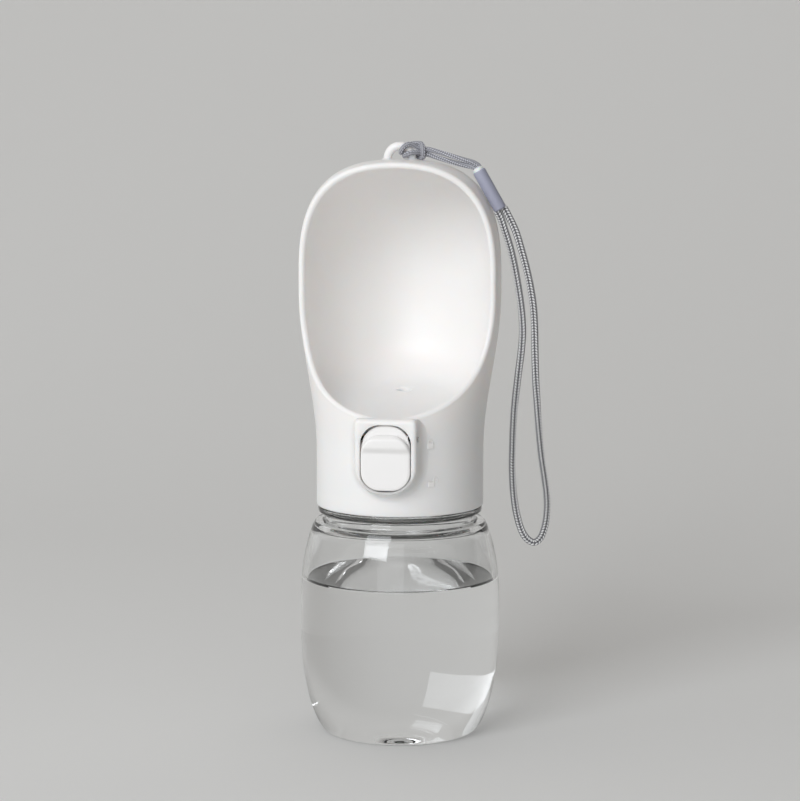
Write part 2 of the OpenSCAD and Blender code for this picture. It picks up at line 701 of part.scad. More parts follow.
// One hanging loop: down on the left, round the bottom and up on the right
strap_path = [[34.53, -8, 189.84], [35.81, -8, 187.57], [37.4, -7.8, 183], [39.2, -7.3, 177.5],
    [40.7, -6.7, 171.5], [41.9, -6, 165.5], [43, -5.2, 159], [43.8, -4.4, 152.5],
    [44.1, -3.7, 146], [43.7, -3, 139.5], [42.9, -2.4, 132.5], [42.1, -1.9, 125.5],
    [41.4, -1.5, 118.5], [41, -1.1, 111.5], [40.8, -0.8, 104.5], [40.7, -0.5, 97.5],
    [41, -0.3, 90.5], [41.7, -0.1, 84], [42.9, 0, 77.8], [44.7, 0, 72.5],
    [46.9, 0.1, 69.6], [49.2, 0.2, 68.7], [51.3, 0.3, 70.3], [52.9, 0.4, 74.6],
    [53.6, 0.4, 80.5], [53.4, 0.3, 86.5], [52.5, 0.1, 93], [51.5, -0.2, 99.5],
    [50.7, -0.5, 106.5], [50.1, -0.9, 113.5], [49.6, -1.3, 120.5], [49.1, -1.8, 127.5],
    [48.8, -2.4, 134.5], [48.6, -3, 141.5], [48.4, -3.8, 148.5], [47.9, -4.6, 155.5],
    [46.8, -5.5, 162.5], [45.2, -6.4, 169.5], [43.2, -7.2, 176.5], [41.1, -7.7, 183],
    [38.17, -8, 188.9], [36.89, -8, 191.17]];

module hitch_cord() {
    color([0.72, 0.72, 0.78]) cord([for (p = hitch_path) turned(p)], hitch_d);
}
module wrist_strap() {
    color([0.45, 0.45, 0.48]) cord([for (p = strap_path) turned(p)], strap_d);
}
module cord_sleeve() {
    tilt = atan2(sleeve_foot[0] - sleeve_top[0], sleeve_top[2] - sleeve_foot[2]);
    color([0.64, 0.66, 0.74]) rotate([0, 0, lanyard_turn]) translate(sleeve_foot)
        rotate([0, -tilt, 0]) cylinder(d = sleeve_d, h = norm(sleeve_top - sleeve_foot));
}

bottle_body();
neck_gasket();
head_shell();
thread_insert();
valve_housing();
valve_screws();
stem_gland();
stem_seal();
inlet_seal();
outlet_grommet();
end_cap();
end_cap_seal();
return_spring();
valve_plunger();
poppet_seal();
pivot_pin();
button_carrier();
button_cap();
hitch_cord();
cord_sleeve();
wrist_strap();
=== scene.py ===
"""Dog travel water bottle: the looks of its pieces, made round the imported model."""
import math

import bpy
import numpy as np
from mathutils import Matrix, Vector


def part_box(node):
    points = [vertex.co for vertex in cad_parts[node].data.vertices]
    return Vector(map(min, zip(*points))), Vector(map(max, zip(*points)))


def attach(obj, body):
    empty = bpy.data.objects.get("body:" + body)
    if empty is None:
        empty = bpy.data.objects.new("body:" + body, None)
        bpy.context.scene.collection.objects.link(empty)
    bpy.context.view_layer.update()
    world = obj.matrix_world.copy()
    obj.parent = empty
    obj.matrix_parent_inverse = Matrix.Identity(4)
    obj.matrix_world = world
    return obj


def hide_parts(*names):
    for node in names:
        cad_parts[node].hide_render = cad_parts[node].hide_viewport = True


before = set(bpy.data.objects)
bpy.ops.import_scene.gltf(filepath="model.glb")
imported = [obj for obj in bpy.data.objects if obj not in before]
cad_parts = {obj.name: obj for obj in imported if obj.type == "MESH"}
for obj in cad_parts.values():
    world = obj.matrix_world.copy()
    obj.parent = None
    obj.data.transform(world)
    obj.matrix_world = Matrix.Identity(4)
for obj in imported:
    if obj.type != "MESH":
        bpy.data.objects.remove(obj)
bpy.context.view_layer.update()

bl_info = {
    "name": "Dog travel water bottle",
    "version": (1, 0, 0),
    "blender": (4, 5, 0),
    "location": "View3D > Sidebar > Dog bottle",
    "description": "Models the bottle, its drinking head, the push button and the lanyard",
    "category": "Object",
}

MM = 0.001
TURN = math.radians(8.5)      # the lanyard and the camera are turned this far round the axis
ALONG_X, ALONG_Y = (0, math.pi / 2, 0), (math.pi / 2, 0, 0)


def width_of(node):
    """Width of a node along X, in millimetres."""
    low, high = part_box(node)
    return (high.x - low.x) / MM


# ---------------------------------------------------------------- sizes and colours

def length(name, about, default):
    """A size in metres, whose default is given in millimetres."""
    return bpy.props.FloatProperty(
        name=name, description=about, default=default * MM, min=0, subtype="DISTANCE",
        unit="LENGTH", precision=5)


def colour(name, about, default):
    """A colour without alpha."""
    return bpy.props.FloatVectorProperty(
        name=name, description=about, default=default, min=0, max=1, size=3, subtype="COLOR")


class DOGBOTTLE_PG_bottle(bpy.types.PropertyGroup):
    """Sizes of the clear bottle and its water"""
    belly: length("Belly", "Widest diameter of the bottle", width_of("bottle_body"))
    foot: length("Foot", "Diameter of the ring that the bottle stands on", 55)
    wall: length("Wall", "Thickness of the clear wall", 2)
    water: length("Water level", "Height of the water above the table", 56.7)
    tint: colour("Tint", "Colour of the clear plastic", (0.985, 0.99, 0.99))


class DOGBOTTLE_PG_head(bpy.types.PropertyGroup):
    """Sizes of the white head"""
    wall: length("Wall", "Thickness of the bowl's wall", 2.3)
    lip: length("Lip", "How far the rounded lip reaches past the wall", 1.2)
    fillet: length("Fillet", "Softness of the corner between the bowl's floor and its wall", 14)
    outlet: length("Outlet", "Diameter of the water outlet in the bowl's floor", 5)
    shell: colour("Shell", "Colour of the white plastic", (0.90, 0.885, 0.875))


class DOGBOTTLE_PG_button(bpy.types.PropertyGroup):
    """Sizes of the push button and its housing"""
    width: length("Width", "Width of the button", width_of("button_cap"))
    ledge: length("Ledge", "How far the thumb ledge stands out", 1.2)
    edge: length("Edge", "Radius of the housing's outer edge", 1.2)
    fillet: length("Fillet", "Width of the blend between housing and collar", 2.3)
    cap: colour("Cap", "Colour of the button", (0.90, 0.89, 0.885))


class DOGBOTTLE_PG_lanyard(bpy.types.PropertyGroup):
    """Sizes and colours of the cord, its sleeve and the strap"""
    cord: length("Cord", "Diameter of the thin hitch cord", 1.4)
    strap: length("Strap", "Width of the wrist strap", 2.6)
    strap_depth: length("Strap depth", "Thickness of the wrist strap", 1.7)
    sleeve: length("Sleeve", "Diameter of the sleeve", 5.3)
    lilac: colour("Cord colour", "Colour of the thin cord", (0.66, 0.67, 0.74))
    sleeve_grey: colour("Sleeve colour", "Colour of the sleeve", (0.37, 0.38, 0.48))


class DOGBOTTLE_PG_stage(bpy.types.PropertyGroup):
    """Stage, lamps and camera"""
    floor: colour("Backdrop", "Colour of the paper backdrop", (0.80, 0.80, 0.79))
    distance: length("Distance", "Distance of the camera from the bottle's axis", 850)
    lens: bpy.props.FloatProperty(
        name="Lens", description="Focal length of the camera in millimetres", default=106.2,
        min=20, subtype="DISTANCE_CAMERA")


# ---------------------------------------------------------------- helpers for meshes

def deselect_all():
    """Leaves edit mode and selects nothing."""
    if bpy.context.object and bpy.context.object.mode != "OBJECT":
        bpy.ops.object.mode_set(mode="OBJECT")
    bpy.ops.object.select_all(action="DESELECT")


def pick(obj):
    """Makes obj the only selected and the active object."""
    deselect_all()
    obj.select_set(True)
    bpy.context.view_layer.objects.active = obj


def edit_all(obj):
    """Opens obj in edit mode with all of it selected."""
    pick(obj)
    bpy.ops.object.mode_set(mode="EDIT")
    bpy.ops.mesh.select_all(action="SELECT")


def close_edit():
    """Leaves edit mode."""
    bpy.ops.object.mode_set(mode="OBJECT")


def settle(obj, name, angle=40):
    """Names a finished piece, moves its place into its mesh and shades it smooth up to angle."""
    if not obj.data.polygons:
        raise RuntimeError(name + " came out empty")
    pick(obj)
    bpy.ops.object.transform_apply(location=True, rotation=True, scale=True)
    obj.name = name
    obj.data.name = name
    bpy.ops.object.shade_smooth_by_angle(angle=math.radians(angle))
    return obj


def outward(obj):
    """Turns all faces of obj outwards, after its doubles are merged."""
    edit_all(obj)
    bpy.ops.mesh.remove_doubles(threshold=1e-7)
    bpy.ops.mesh.normals_make_consistent(inside=False)
    close_edit()


def apply_modifier(obj, kind, **values):
    """Adds a modifier of a kind with its values and applies it."""
    pick(obj)
    modifier = obj.modifiers.new(kind.title(), kind)
    for key, value in values.items():
        setattr(modifier, key, value)
    bpy.ops.object.modifier_apply(modifier=modifier.name)


def cut(obj, cutter, operation="DIFFERENCE"):
    """Cuts the closed cutter out of obj, or joins it to obj, and deletes the cutter."""
    apply_modifier(obj, "BOOLEAN", operation=operation, object=cutter, solver="EXACT")
    bpy.data.objects.remove(cutter)


def rod(radius, depth, place, turn, sides):
    """A cylinder along X or Y to cut or join with, its sizes and place in millimetres."""
    deselect_all()
    bpy.ops.mesh.primitive_cylinder_add(vertices=sides, radius=radius * MM, depth=depth * MM,
                                        location=Vector(place) * MM, rotation=turn)
    return bpy.context.object


def join(obj, *others):
    """Joins other objects into obj."""
    pick(obj)
    for other in others:
        other.select_set(True)
    bpy.ops.object.join()
    return obj


def draw_line(points):
    """A chain of edges through points in metres, drawn by extruding one vertex on and on."""
    deselect_all()
    bpy.ops.mesh.primitive_plane_add(size=MM, location=points[0])
    obj = bpy.context.object
    bpy.ops.object.mode_set(mode="EDIT")
    bpy.ops.mesh.select_all(action="SELECT")
    bpy.ops.mesh.merge(type="CENTER")
    for here, there in zip(points, points[1:]):
        bpy.ops.mesh.extrude_region_move(
            TRANSFORM_OT_translate={"value": Vector(there) - Vector(here)})
    close_edit()
    bpy.ops.object.transform_apply(location=True, rotation=True, scale=True)
    return obj


def lathe(profile, steps):
    """Spins a profile of (radius, height) in millimetres round the Z axis."""
    obj = draw_line([(r * MM, 0, z * MM) for r, z in profile])
    edit_all(obj)
    bpy.ops.mesh.spin(steps=steps, angle=2 * math.pi, center=(0, 0, 0), axis=(0, 0, 1))
    bpy.ops.mesh.select_all(action="SELECT")
    bpy.ops.mesh.remove_doubles(threshold=1e-6)
    bpy.ops.mesh.normals_make_consistent(inside=False)
    close_edit()
    return obj


def from_rings(name, rings, around=True, caps=False):
    """A mesh of quads between rows of rings, in millimetres; around also joins last to first."""
    rings = [np.asarray(ring, float) for ring in rings]
    sides = len(rings[0])
    mesh = bpy.data.meshes.new(name)
    faces = []
    pairs = list(zip(range(len(rings) - 1), range(1, len(rings))))
    if around:
        pairs.append((len(rings) - 1, 0))
    for a, b in pairs:
        for j in range(sides):
            k = (j + 1) % sides
            faces.append((a * sides + j, a * sides + k, b * sides + k, b * sides + j))
    if caps:
        faces.append(tuple(range(sides))[::-1])
        last = (len(rings) - 1) * sides
        faces.append(tuple(range(last, last + sides)))
    mesh.from_pydata((np.concatenate(rings) * MM).tolist(), [], faces)
    mesh.update()
    obj = bpy.data.objects.new(name, mesh)
    bpy.context.collection.objects.link(obj)
    return obj


# ---------------------------------------------------------------- helpers for materials

class Finish:
    """A node material under construction: nodes are added from left to right."""

    def __init__(self, name, **values):
        self.material = bpy.data.materials.new(name)
        self.material.use_nodes = True
        self.tree = self.material.node_tree
        self.shader = self.tree.nodes["Principled BSDF"]
        self.column = -1600
        for key, value in values.items():
            self.set(self.shader, key.replace("_", " "), value)

    def set(self, node, socket, value):
        """Sets an input by name, or links an output to it."""
        if isinstance(socket, int):
            target = node.inputs[socket]
        else:
            target = next(s for s in node.inputs if s.name.lower() == socket.lower())
        if isinstance(value, bpy.types.NodeSocket):
            self.tree.links.new(value, target)
        elif target.type == "RGBA" and len(value) == 3:
            target.default_value = (*value, 1)
        else:
            target.default_value = value

    def add(self, kind, inputs=(), output=0, **settings):
        """Adds a node with its settings and inputs, and gives back one of its outputs."""
        node = self.tree.nodes.new(kind)
        node.location = (self.column, 300)
        self.column += 60
        for key, value in settings.items():
            setattr(node, key, value)
        for socket, value in dict(inputs).items():
            self.set(node, socket, value)
        return node.outputs[output]

    def place(self, scale=(1, 1, 1)):
        """Object coordinates, stretched by scale."""
        coords = self.add("ShaderNodeTexCoord", output="Object")
        return self.add("ShaderNodeMapping", {"Vector": coords, "Scale": scale})

    def noise(self, where, scale, detail=3.0, roughness=0.5):
        """Noise between 0 and 1."""
        return self.add("ShaderNodeTexNoise", {
            "Vector": where, "Scale": scale, "Detail": detail, "Roughness": roughness})

    def math(self, operation, a, b=0.0):
        """One sum of two values."""
        return self.add("ShaderNodeMath", {0: a, 1: b}, operation=operation)

    def ramp(self, value, low, high, to_low=0.0, to_high=1.0):
        """Maps a value from one range to another."""
        return self.add("ShaderNodeMapRange", {
            "Value": value, "From Min": low, "From Max": high,
            "To Min": to_low, "To Max": to_high})

    def mix(self, factor, one, other):
        """Mixes two colours."""
        node = self.tree.nodes.new("ShaderNodeMix")
        node.data_type = "RGBA"
        node.location = (self.column, 0)
        self.column += 60
        for index, value in ((0, factor), (6, one), (7, other)):
            self.set(node, index, value)
        return node.outputs[2]

    def bump(self, height, strength, distance):
        """Feeds a height into the shader's normal."""
        normal = self.add("ShaderNodeBump", {
            "Height": height, "Strength": strength, "Distance": distance})
        self.set(self.shader, "Normal", normal)


def moulded(name, tone, roughness=0.42, grain=0.05, depth=0.03, glow=0.0):
    """Moulded plastic: a fine satin grain, faint flow clouds and slightly uneven gloss.

    glow is how much of the light soaks in and comes out elsewhere, warmer.
    """
    look = Finish(name, Roughness=roughness, IOR=1.49, Subsurface_Weight=glow,
                  Subsurface_Scale=0.003, Subsurface_Radius=(1.0, 0.8, 0.68))
    where = look.place()
    clouds = look.noise(where, 35, 2)
    fine = look.noise(where, 2600, 2)
    dark = tuple(c * (1 - depth) for c in tone)
    look.set(look.shader, "Base Color", look.mix(clouds, dark, tone))
    look.set(look.shader, "Roughness", look.ramp(fine, 0.3, 0.7, roughness - 0.04,
                                                 roughness + 0.05))
    look.bump(look.math("ADD", fine, look.math("MULTIPLY", clouds, 0.6)), grain, 0.00005)
    return look.material


def clear_plastic(name, tint, index=1.5, shade=0.5):
    """Clear glossy plastic; shade is how much plain light one of its faces lets through.

    index is the refractive index against what lies on the face's other side: air, or water.
    """
    look = Finish(name, Roughness=0.0, IOR=index, Transmission_Weight=1.0, Base_Color=tint)
    waves = look.noise(look.place(), 90, 2)
    look.bump(waves, 0.1, 0.0002)
    return see_through_shadow(look, shade)


def see_through_shadow(look, shade):
    """Lets shadow rays pass, so that the table under clear pieces isn't black."""
    tree = look.tree
    output = tree.nodes["Material Output"]
    rays = tree.nodes.new("ShaderNodeLightPath")
    clear = tree.nodes.new("ShaderNodeBsdfTransparent")
    clear.inputs["Color"].default_value = (shade, shade, shade, 1)
    both = tree.nodes.new("ShaderNodeMixShader")
    tree.links.new(rays.outputs["Is Shadow Ray"], both.inputs[0])
    tree.links.new(look.shader.outputs[0], both.inputs[1])
    tree.links.new(clear.outputs[0], both.inputs[2])
    tree.links.new(both.outputs[0], output.inputs["Surface"])
    return look.material


def water_look(name):
    """The open surface of still water."""
    look = Finish(name, Roughness=0.0, IOR=1.33, Transmission_Weight=1.0,
                  Base_Color=(0.98, 0.99, 1.0))
    look.bump(look.noise(look.place(), 60, 1), 0.08, 0.0002)
    return see_through_shadow(look, 0.8)


def wet_side(name):
    """Water where it lies against the bottle, whose own faces bend the light there."""
    look = Finish(name, Roughness=0.0, IOR=1.33, Transmission_Weight=1.0, Alpha=0.0)
    tint = look.noise(look.place(), 20, 1)
    look.set(look.shader, "Base Color", look.mix(tint, (0.98, 0.99, 1.0), (0.97, 0.99, 1.0)))
    return look.material


def metal(name, tone, roughness):
    """Drawn steel with fine lines and a little unevenness."""
    look = Finish(name, Metallic=1.0, Roughness=roughness)
    lines = look.noise(look.place((1, 8, 8)), 900, 3)
    look.set(look.shader, "Base Color", look.mix(lines, tuple(c * 0.85 for c in tone), tone))
    look.set(look.shader, "Roughness", look.ramp(lines, 0.3, 0.7, roughness - 0.06,
                                                 roughness + 0.1))
    look.bump(lines, 0.1, 0.00003)
    return look.material


def rubber(name, tone):
    """Matt rubber."""
    look = Finish(name, Roughness=0.7)
    grain = look.noise(look.place(), 1400, 3)
    look.set(look.shader, "Base Color", look.mix(grain, tuple(c * 0.7 for c in tone), tone))
    look.bump(grain, 0.25, 0.00006)
    return look.material


def milky(name, tone):
    """Silicone that light soaks into."""
    look = Finish(name, Roughness=0.45, Subsurface_Weight=0.25, Subsurface_Scale=0.002)
    clouds = look.noise(look.place(), 300, 3)
    look.set(look.shader, "Base Color", look.mix(clouds, tuple(c * 0.93 for c in tone), tone))
    look.bump(clouds, 0.08, 0.00008)
    return look.material


def braided(name, tones, columns, pitch, depth, roughness=0.65):
    """Flat braid on a piece's own map: U counts millimetres along it, V goes once round it.

    tones are (stitches, ribs on the narrow sides, gaps, whose tone is painted shade in the
    grooves); the stitches stand in columns.
    """
    look = Finish(name, Roughness=roughness, Sheen_Weight=0.2, Sheen_Roughness=0.4)
    uv = look.add("ShaderNodeUVMap", uv_map="along")
    split = look.tree.nodes.new("ShaderNodeSeparateXYZ")
    look.tree.links.new(uv, split.inputs[0])
    place = look.math("ADD", look.math("MULTIPLY", split.outputs[1], columns), 0.5)
    column = look.math("FLOOR", place)
    narrow = look.math("LESS_THAN", look.math("FLOORED_MODULO", column, columns / 2), 0.5)
    lean = look.math("MULTIPLY", look.math("PINGPONG", place, 1.0), 0.6)
    run = look.math("ADD", look.math("DIVIDE", split.outputs[0], pitch), lean)
    run = look.math("MULTIPLY", run, look.math("ADD", narrow, 1.0))
    stitch = look.math("SINE", look.math("MULTIPLY", look.math("FRACT", run), math.pi))
    edge = look.math("SINE", look.math("MULTIPLY", look.math("FRACT", place), math.pi))
    height = look.math("MULTIPLY", look.math("POWER", stitch, 0.5),
                       look.math("POWER", edge, 0.4))
    fibres = look.noise(look.place(), 5200, 2)
    yarn = look.mix(narrow, tones[0], tones[1])
    worn = look.mix(look.ramp(fibres, 0.35, 0.75, 0, 0.3), yarn, tones[2])
    # where the braid dips between stitches and columns, its colour runs to the gap tone: painted
    # shade in the grooves
    look.set(look.shader, "Base Color", look.mix(
        look.ramp(height, 0.45, 0.8), tones[2], worn))
    look.bump(look.math("ADD", height, look.math("MULTIPLY", fibres, 0.3)), depth, 0.0002)
    return look.material


# ---------------------------------------------------------------- shape of the head

COLLAR_R, COLLAR_IN_R, COLLAR_Z = 30.3, 28.4, 83.3
HEAD_R, FLARE_Z, FLARE_H = 36.5, 104.0, 56.0
DOME_Z, DOME_H, DOME_N = 166.0, 42.0, 2.7
LIP_Z, RIM_RISE, RIM_BACK, RIM_LEAN, RIM_STRAIGHT = 118.0, 37.0, 22.5, 4.4, 8.0
FLOOR_Z, FLOOR_T = 117.5, 2.2
FLOOR_SLOPE = math.tan(math.radians(8.5))
DECK_TOP = 98.3
OUTLET_Y, BOSS_Z, BOSS_R = 11.0, 117.7, 4.8
EYE_Z, EYE_R, EYE_BAR = 208.4, 4.4, 1.5
RIM_Y = -8.77
CENTRE = np.array([0.0, 0.0, 150.0])
COLUMNS = 224


def ease(u):
    """Smooth step from 0 to 1."""
    u = np.clip(u, 0, 1)
    return u * u * (3 - 2 * u)


def wall_radius(z, inset=0.0):
    """Radius of the head at height z, a wall's thickness inset from its outer surface."""
    z = np.asarray(z, float)
    side = COLLAR_R + (HEAD_R - COLLAR_R) * ease((z - FLARE_Z) / FLARE_H) - inset
    up = np.clip((z - DOME_Z) / (DOME_H - inset), 0, 1)
    dome = (HEAD_R - inset) * np.power(np.clip(1 - up ** DOME_N, 0, 1), 1 / DOME_N)
    return np.where(z > DOME_Z, dome, side)


def floor_height(y):
    """Height of the bowl's sloping floor."""
    return FLOOR_Z + (y + 31.25) * FLOOR_SLOPE


def outer_side(p):
    """Below zero inside the head's outer surface."""
    return np.hypot(p[:, 0], p[:, 1]) - wall_radius(p[:, 2])


def inner_side(p, wall, fillet):
    """Below zero inside the bowl, whose floor and wall meet in a soft corner."""
    radius = wall_radius(p[:, 2], wall)
    side = np.hypot(p[:, 0], p[:, 1]) - radius
    side = np.where(p[:, 2] > DOME_Z + DOME_H - wall, 50, side)
    under = floor_height(p[:, 1]) - p[:, 2]
    soft = 0.4 + fillet * ease((p[:, 1] + 28) / 20)
    gap = np.clip(soft - np.abs(side - under), 0, None) / soft
    return np.maximum(side, under) + gap * gap * soft / 4


def cast(directions, surface):
    """Where rays from the bowl's centre meet a surface."""
    near = np.zeros(len(directions))
    far = np.full(len(directions), 80.0)
    for _ in range(44):
        middle = (near + far) / 2
        outside = surface(CENTRE + directions * middle[:, None]) > 0
        far = np.where(outside, middle, far)
        near = np.where(outside, near, middle)
    return CENTRE + directions * near[:, None]


def unit(v):
    """Rows of v scaled to length one."""
    return v / np.linalg.norm(v, axis=-1, keepdims=True)


def between(a, b, t):
    """Directions on the great circle from a to b."""
    angle = np.arccos(np.clip((a * b).sum(1), -1, 1))[:, None]
    return (np.sin((1 - t) * angle) * a + np.sin(t * angle) * b) / np.sin(angle)


def rim_profile(z):
    """The front cut, seen from the side: how far forward the rim stands at height z."""
    low = RIM_Y - RIM_BACK * np.power(np.clip(1 - (z - LIP_Z) / RIM_RISE, 0, None), 2.4)
    start = LIP_Z + RIM_RISE + RIM_STRAIGHT
    up = (z - start) / (DOME_Z + DOME_H + 1 - start)
    high = RIM_Y - RIM_LEAN * up * up
    return np.where(z < start - RIM_STRAIGHT, low, np.where(z > start, high, RIM_Y))


def rim_curve(inset, back):
    """The loop where the front cut, moved back by a distance, meets a wall's surface.

    The loop starts at the bottom in front and runs up the right side.
    """
    z = np.linspace(LIP_Z - 3, DOME_Z + DOME_H - inset - 1e-4, 6000)
    y = rim_profile(z)
    slope = np.gradient(y, z)
    scale = np.sqrt(1 + slope * slope)
    y_back, z_back = y + back / scale, z - back * slope / scale
    x2 = wall_radius(z_back, inset) ** 2 - y_back ** 2
    inside = np.where(x2 > 0)[0]
    first, last = inside[0], inside[-1]
    keep = slice(first, last + 1)
    x, y_back, z_back = np.sqrt(x2[keep]), y_back[keep], z_back[keep]
    x[0] = x[-1] = 0
    angle = np.arctan2(x, 160 - z_back)
    turns = np.arange(COLUMNS) * 2 * math.pi / COLUMNS
    mirrored = np.where(turns > math.pi, 2 * math.pi - turns, turns)
    order = np.argsort(angle)
    got = [np.interp(mirrored, angle[order], v[order]) for v in (x, y_back, z_back)]
    got[0] *= np.where(turns > math.pi, -1, 1)
    return np.stack(got, 1)


def circle(radius, z, y=0.0):
    """A level ring that starts in front and turns to the right."""
    turns = np.arange(COLUMNS) * 2 * math.pi / COLUMNS
    return np.stack([radius * np.sin(turns), y - radius * np.cos(turns),
                     np.broadcast_to(z, turns.shape)], 1)


def floor_ring(radius, y, drop):
    """A ring on the bowl's floor, or a distance under it."""
    ring = circle(radius, 0, y)
    ring[:, 2] = floor_height(ring[:, 1]) - drop
    return ring


def head_rings(wall, lip, fillet, outlet):
    """All rings of the head, from the outlet out over the bowl and the collar and back."""
    edge_out = rim_curve(0, lip)
    edge_in = rim_curve(wall, lip)
    bowl = lambda p: inner_side(p, wall, fillet)
    edge_in = cast(unit(edge_in - CENTRE), bowl)
    rings = []
    # outer skin, from the collar's foot up to the lip
    for a in np.linspace(0, 90, 5):
        a = math.radians(a)
        rings.append(circle(COLLAR_R - 0.5 * (1 - math.sin(a)), COLLAR_Z + 0.5 * (1 - math.cos(a))))
    for z in np.linspace(86, 110, 10):
        rings.append(circle(wall_radius(z), z))
    start = circle(wall_radius(112), 112)
    from_way, to_way = unit(start - CENTRE), unit(edge_out - CENTRE)
    for t in np.linspace(0, 1, 76):
        rings.append(cast(between(from_way, to_way, t), outer_side))
    rings[-1] = edge_out
    # round lip
    middle, half = (edge_out + edge_in) / 2, (edge_out - edge_in) / 2
    along = unit(np.roll(middle, -1, 0) - np.roll(middle, 1, 0))
    ahead = unit(np.cross(half, along))
    ahead *= np.sign((ahead * np.array([0, -1.0, 0.3])).sum(1))[:, None]
    for a in np.linspace(0, math.pi, 13)[1:-1]:
        rings.append(middle + half * math.cos(a) + ahead * lip * math.sin(a))
    # bowl down to the outlet
    rim_way = unit(edge_in - CENTRE)
    outlet_r = outlet / 2
    goal = floor_ring(outlet_r + 1.2, OUTLET_Y, 0)
    goal_way = unit(goal - CENTRE)
    for t in np.linspace(0, 1, 90):
        rings.append(cast(between(rim_way, goal_way, t), bowl))
    for grow, drop in ((0.7, 0.02), (0.35, 0.1), (0.12, 0.3), (0, 0.6)):
        rings.append(floor_ring(outlet_r + grow, OUTLET_Y, drop))
    rings.append(circle(outlet_r, BOSS_Z, OUTLET_Y))
    rings.append(circle(BOSS_R, BOSS_Z, OUTLET_Y))
    # chamber: its roof, its wall and the seat of the thread insert
    rings.append(floor_ring(BOSS_R, OUTLET_Y, FLOOR_T + 0.02))
    for t in (0.35, 0.7, 1):
        ring = circle(BOSS_R + (27.6 - BOSS_R) * t, 0, OUTLET_Y * (1 - t))
        ring[:, 2] = floor_height(ring[:, 1]) - FLOOR_T - 0.02
        rings.append(ring)
    for r, z in ((28.0, 108), (28.0, 100.3), (27.0, 100.3), (27.0, DECK_TOP),
                 (COLLAR_IN_R, DECK_TOP), (COLLAR_IN_R, COLLAR_Z + 0.3),
                 (COLLAR_IN_R + 0.3, COLLAR_Z)):
        rings.append(circle(r, z))
    return rings


def eye_rings():
    """Rings of the eye, up its left leg, over the arch and down its right leg."""
    a = np.arange(40) * 2 * math.pi / 40
    leg = []
    for z in np.linspace(206.4, EYE_Z, 18)[:-1]:
        spread = EYE_BAR + 1.5 * math.exp(-max(0, z - 207.6) / 0.5)
        leg.append(np.stack([-EYE_R - spread * np.cos(a), spread * np.sin(a),
                             np.full(40, z)], 1))
    arch = []
    for t in np.linspace(0, math.pi, 48):
        out = EYE_R + EYE_BAR * np.cos(a)
        arch.append(np.stack([-out * math.cos(t), EYE_BAR * np.sin(a),
                              EYE_Z + out * math.sin(t)], 1))
    return leg + arch + [ring * (-1, 1, 1) for ring in leg[::-1]]


# ---------------------------------------------------------------- button window and housing

WINDOW_W, WINDOW_Z, WINDOW_TOP, WINDOW_R = 18.1, 92.8, 116.6, 7.0
HOUSING_W, HOUSING_Z, HOUSING_TOP, HOUSING_R = 21.9, 91.8, 118.7, 10.0
FACE_Y = -35.0
PIN_Y, PIN_Z = -32.3, 111.6
CAP_Z, CAP_TOP, CAP_R, CAP_FACE, CAP_BACK = 93.4, 113.0, 6.6, -35.2, -33.6
NOTCH_X, NOTCH_Z = 8.95, 110.7
THROUGH = 60                  # longer than anything that a rod is cut through


def rounded_outline(width, low, high, low_r, high_r, grow=0.0):
    """A rounded rectangle seen from the front, from the bottom's middle round to the right.

    Gives (x, z) rows, with as many points whatever the sizes are.
    """
    half, low, high = width / 2 + grow, low - grow, high + grow
    low_r, high_r = max(low_r + grow, 0.05), max(high_r + grow, 0.05)
    points = []
    for t in np.linspace(0, 1, 9)[:-1]:
        points.append((t * (half - low_r), low))
    for a in np.radians(np.linspace(-90, 0, 19)[:-1]):
        points.append((half - low_r + low_r * math.cos(a), low + low_r + low_r * math.sin(a)))
    for t in np.linspace(0, 1, 13)[:-1]:
        points.append((half, low + low_r + t * (high - high_r - low - low_r)))
    for a in np.radians(np.linspace(0, 90, 17)[:-1]):
        points.append((half - high_r + high_r * math.cos(a), high - high_r + high_r * math.sin(a)))
    for t in np.linspace(0, 1, 9):
        points.append(((1 - t) * (half - high_r), high))
    right = np.array(points)
    left = right[1:-1][::-1] * (-1, 1)
    return np.concatenate([right, left])


def raised(outline, y):
    """An outline of (x, z) as a ring at depth y, which may be one number or one a point."""
    return np.stack([outline[:, 0], np.broadcast_to(y, len(outline)), outline[:, 1]], 1)


def collar_y(x, z):
    """Depth of the collar's front surface at (x, z)."""
    r = wall_radius(z)
    return -np.sqrt(np.clip(r * r - x * x, 1, None))


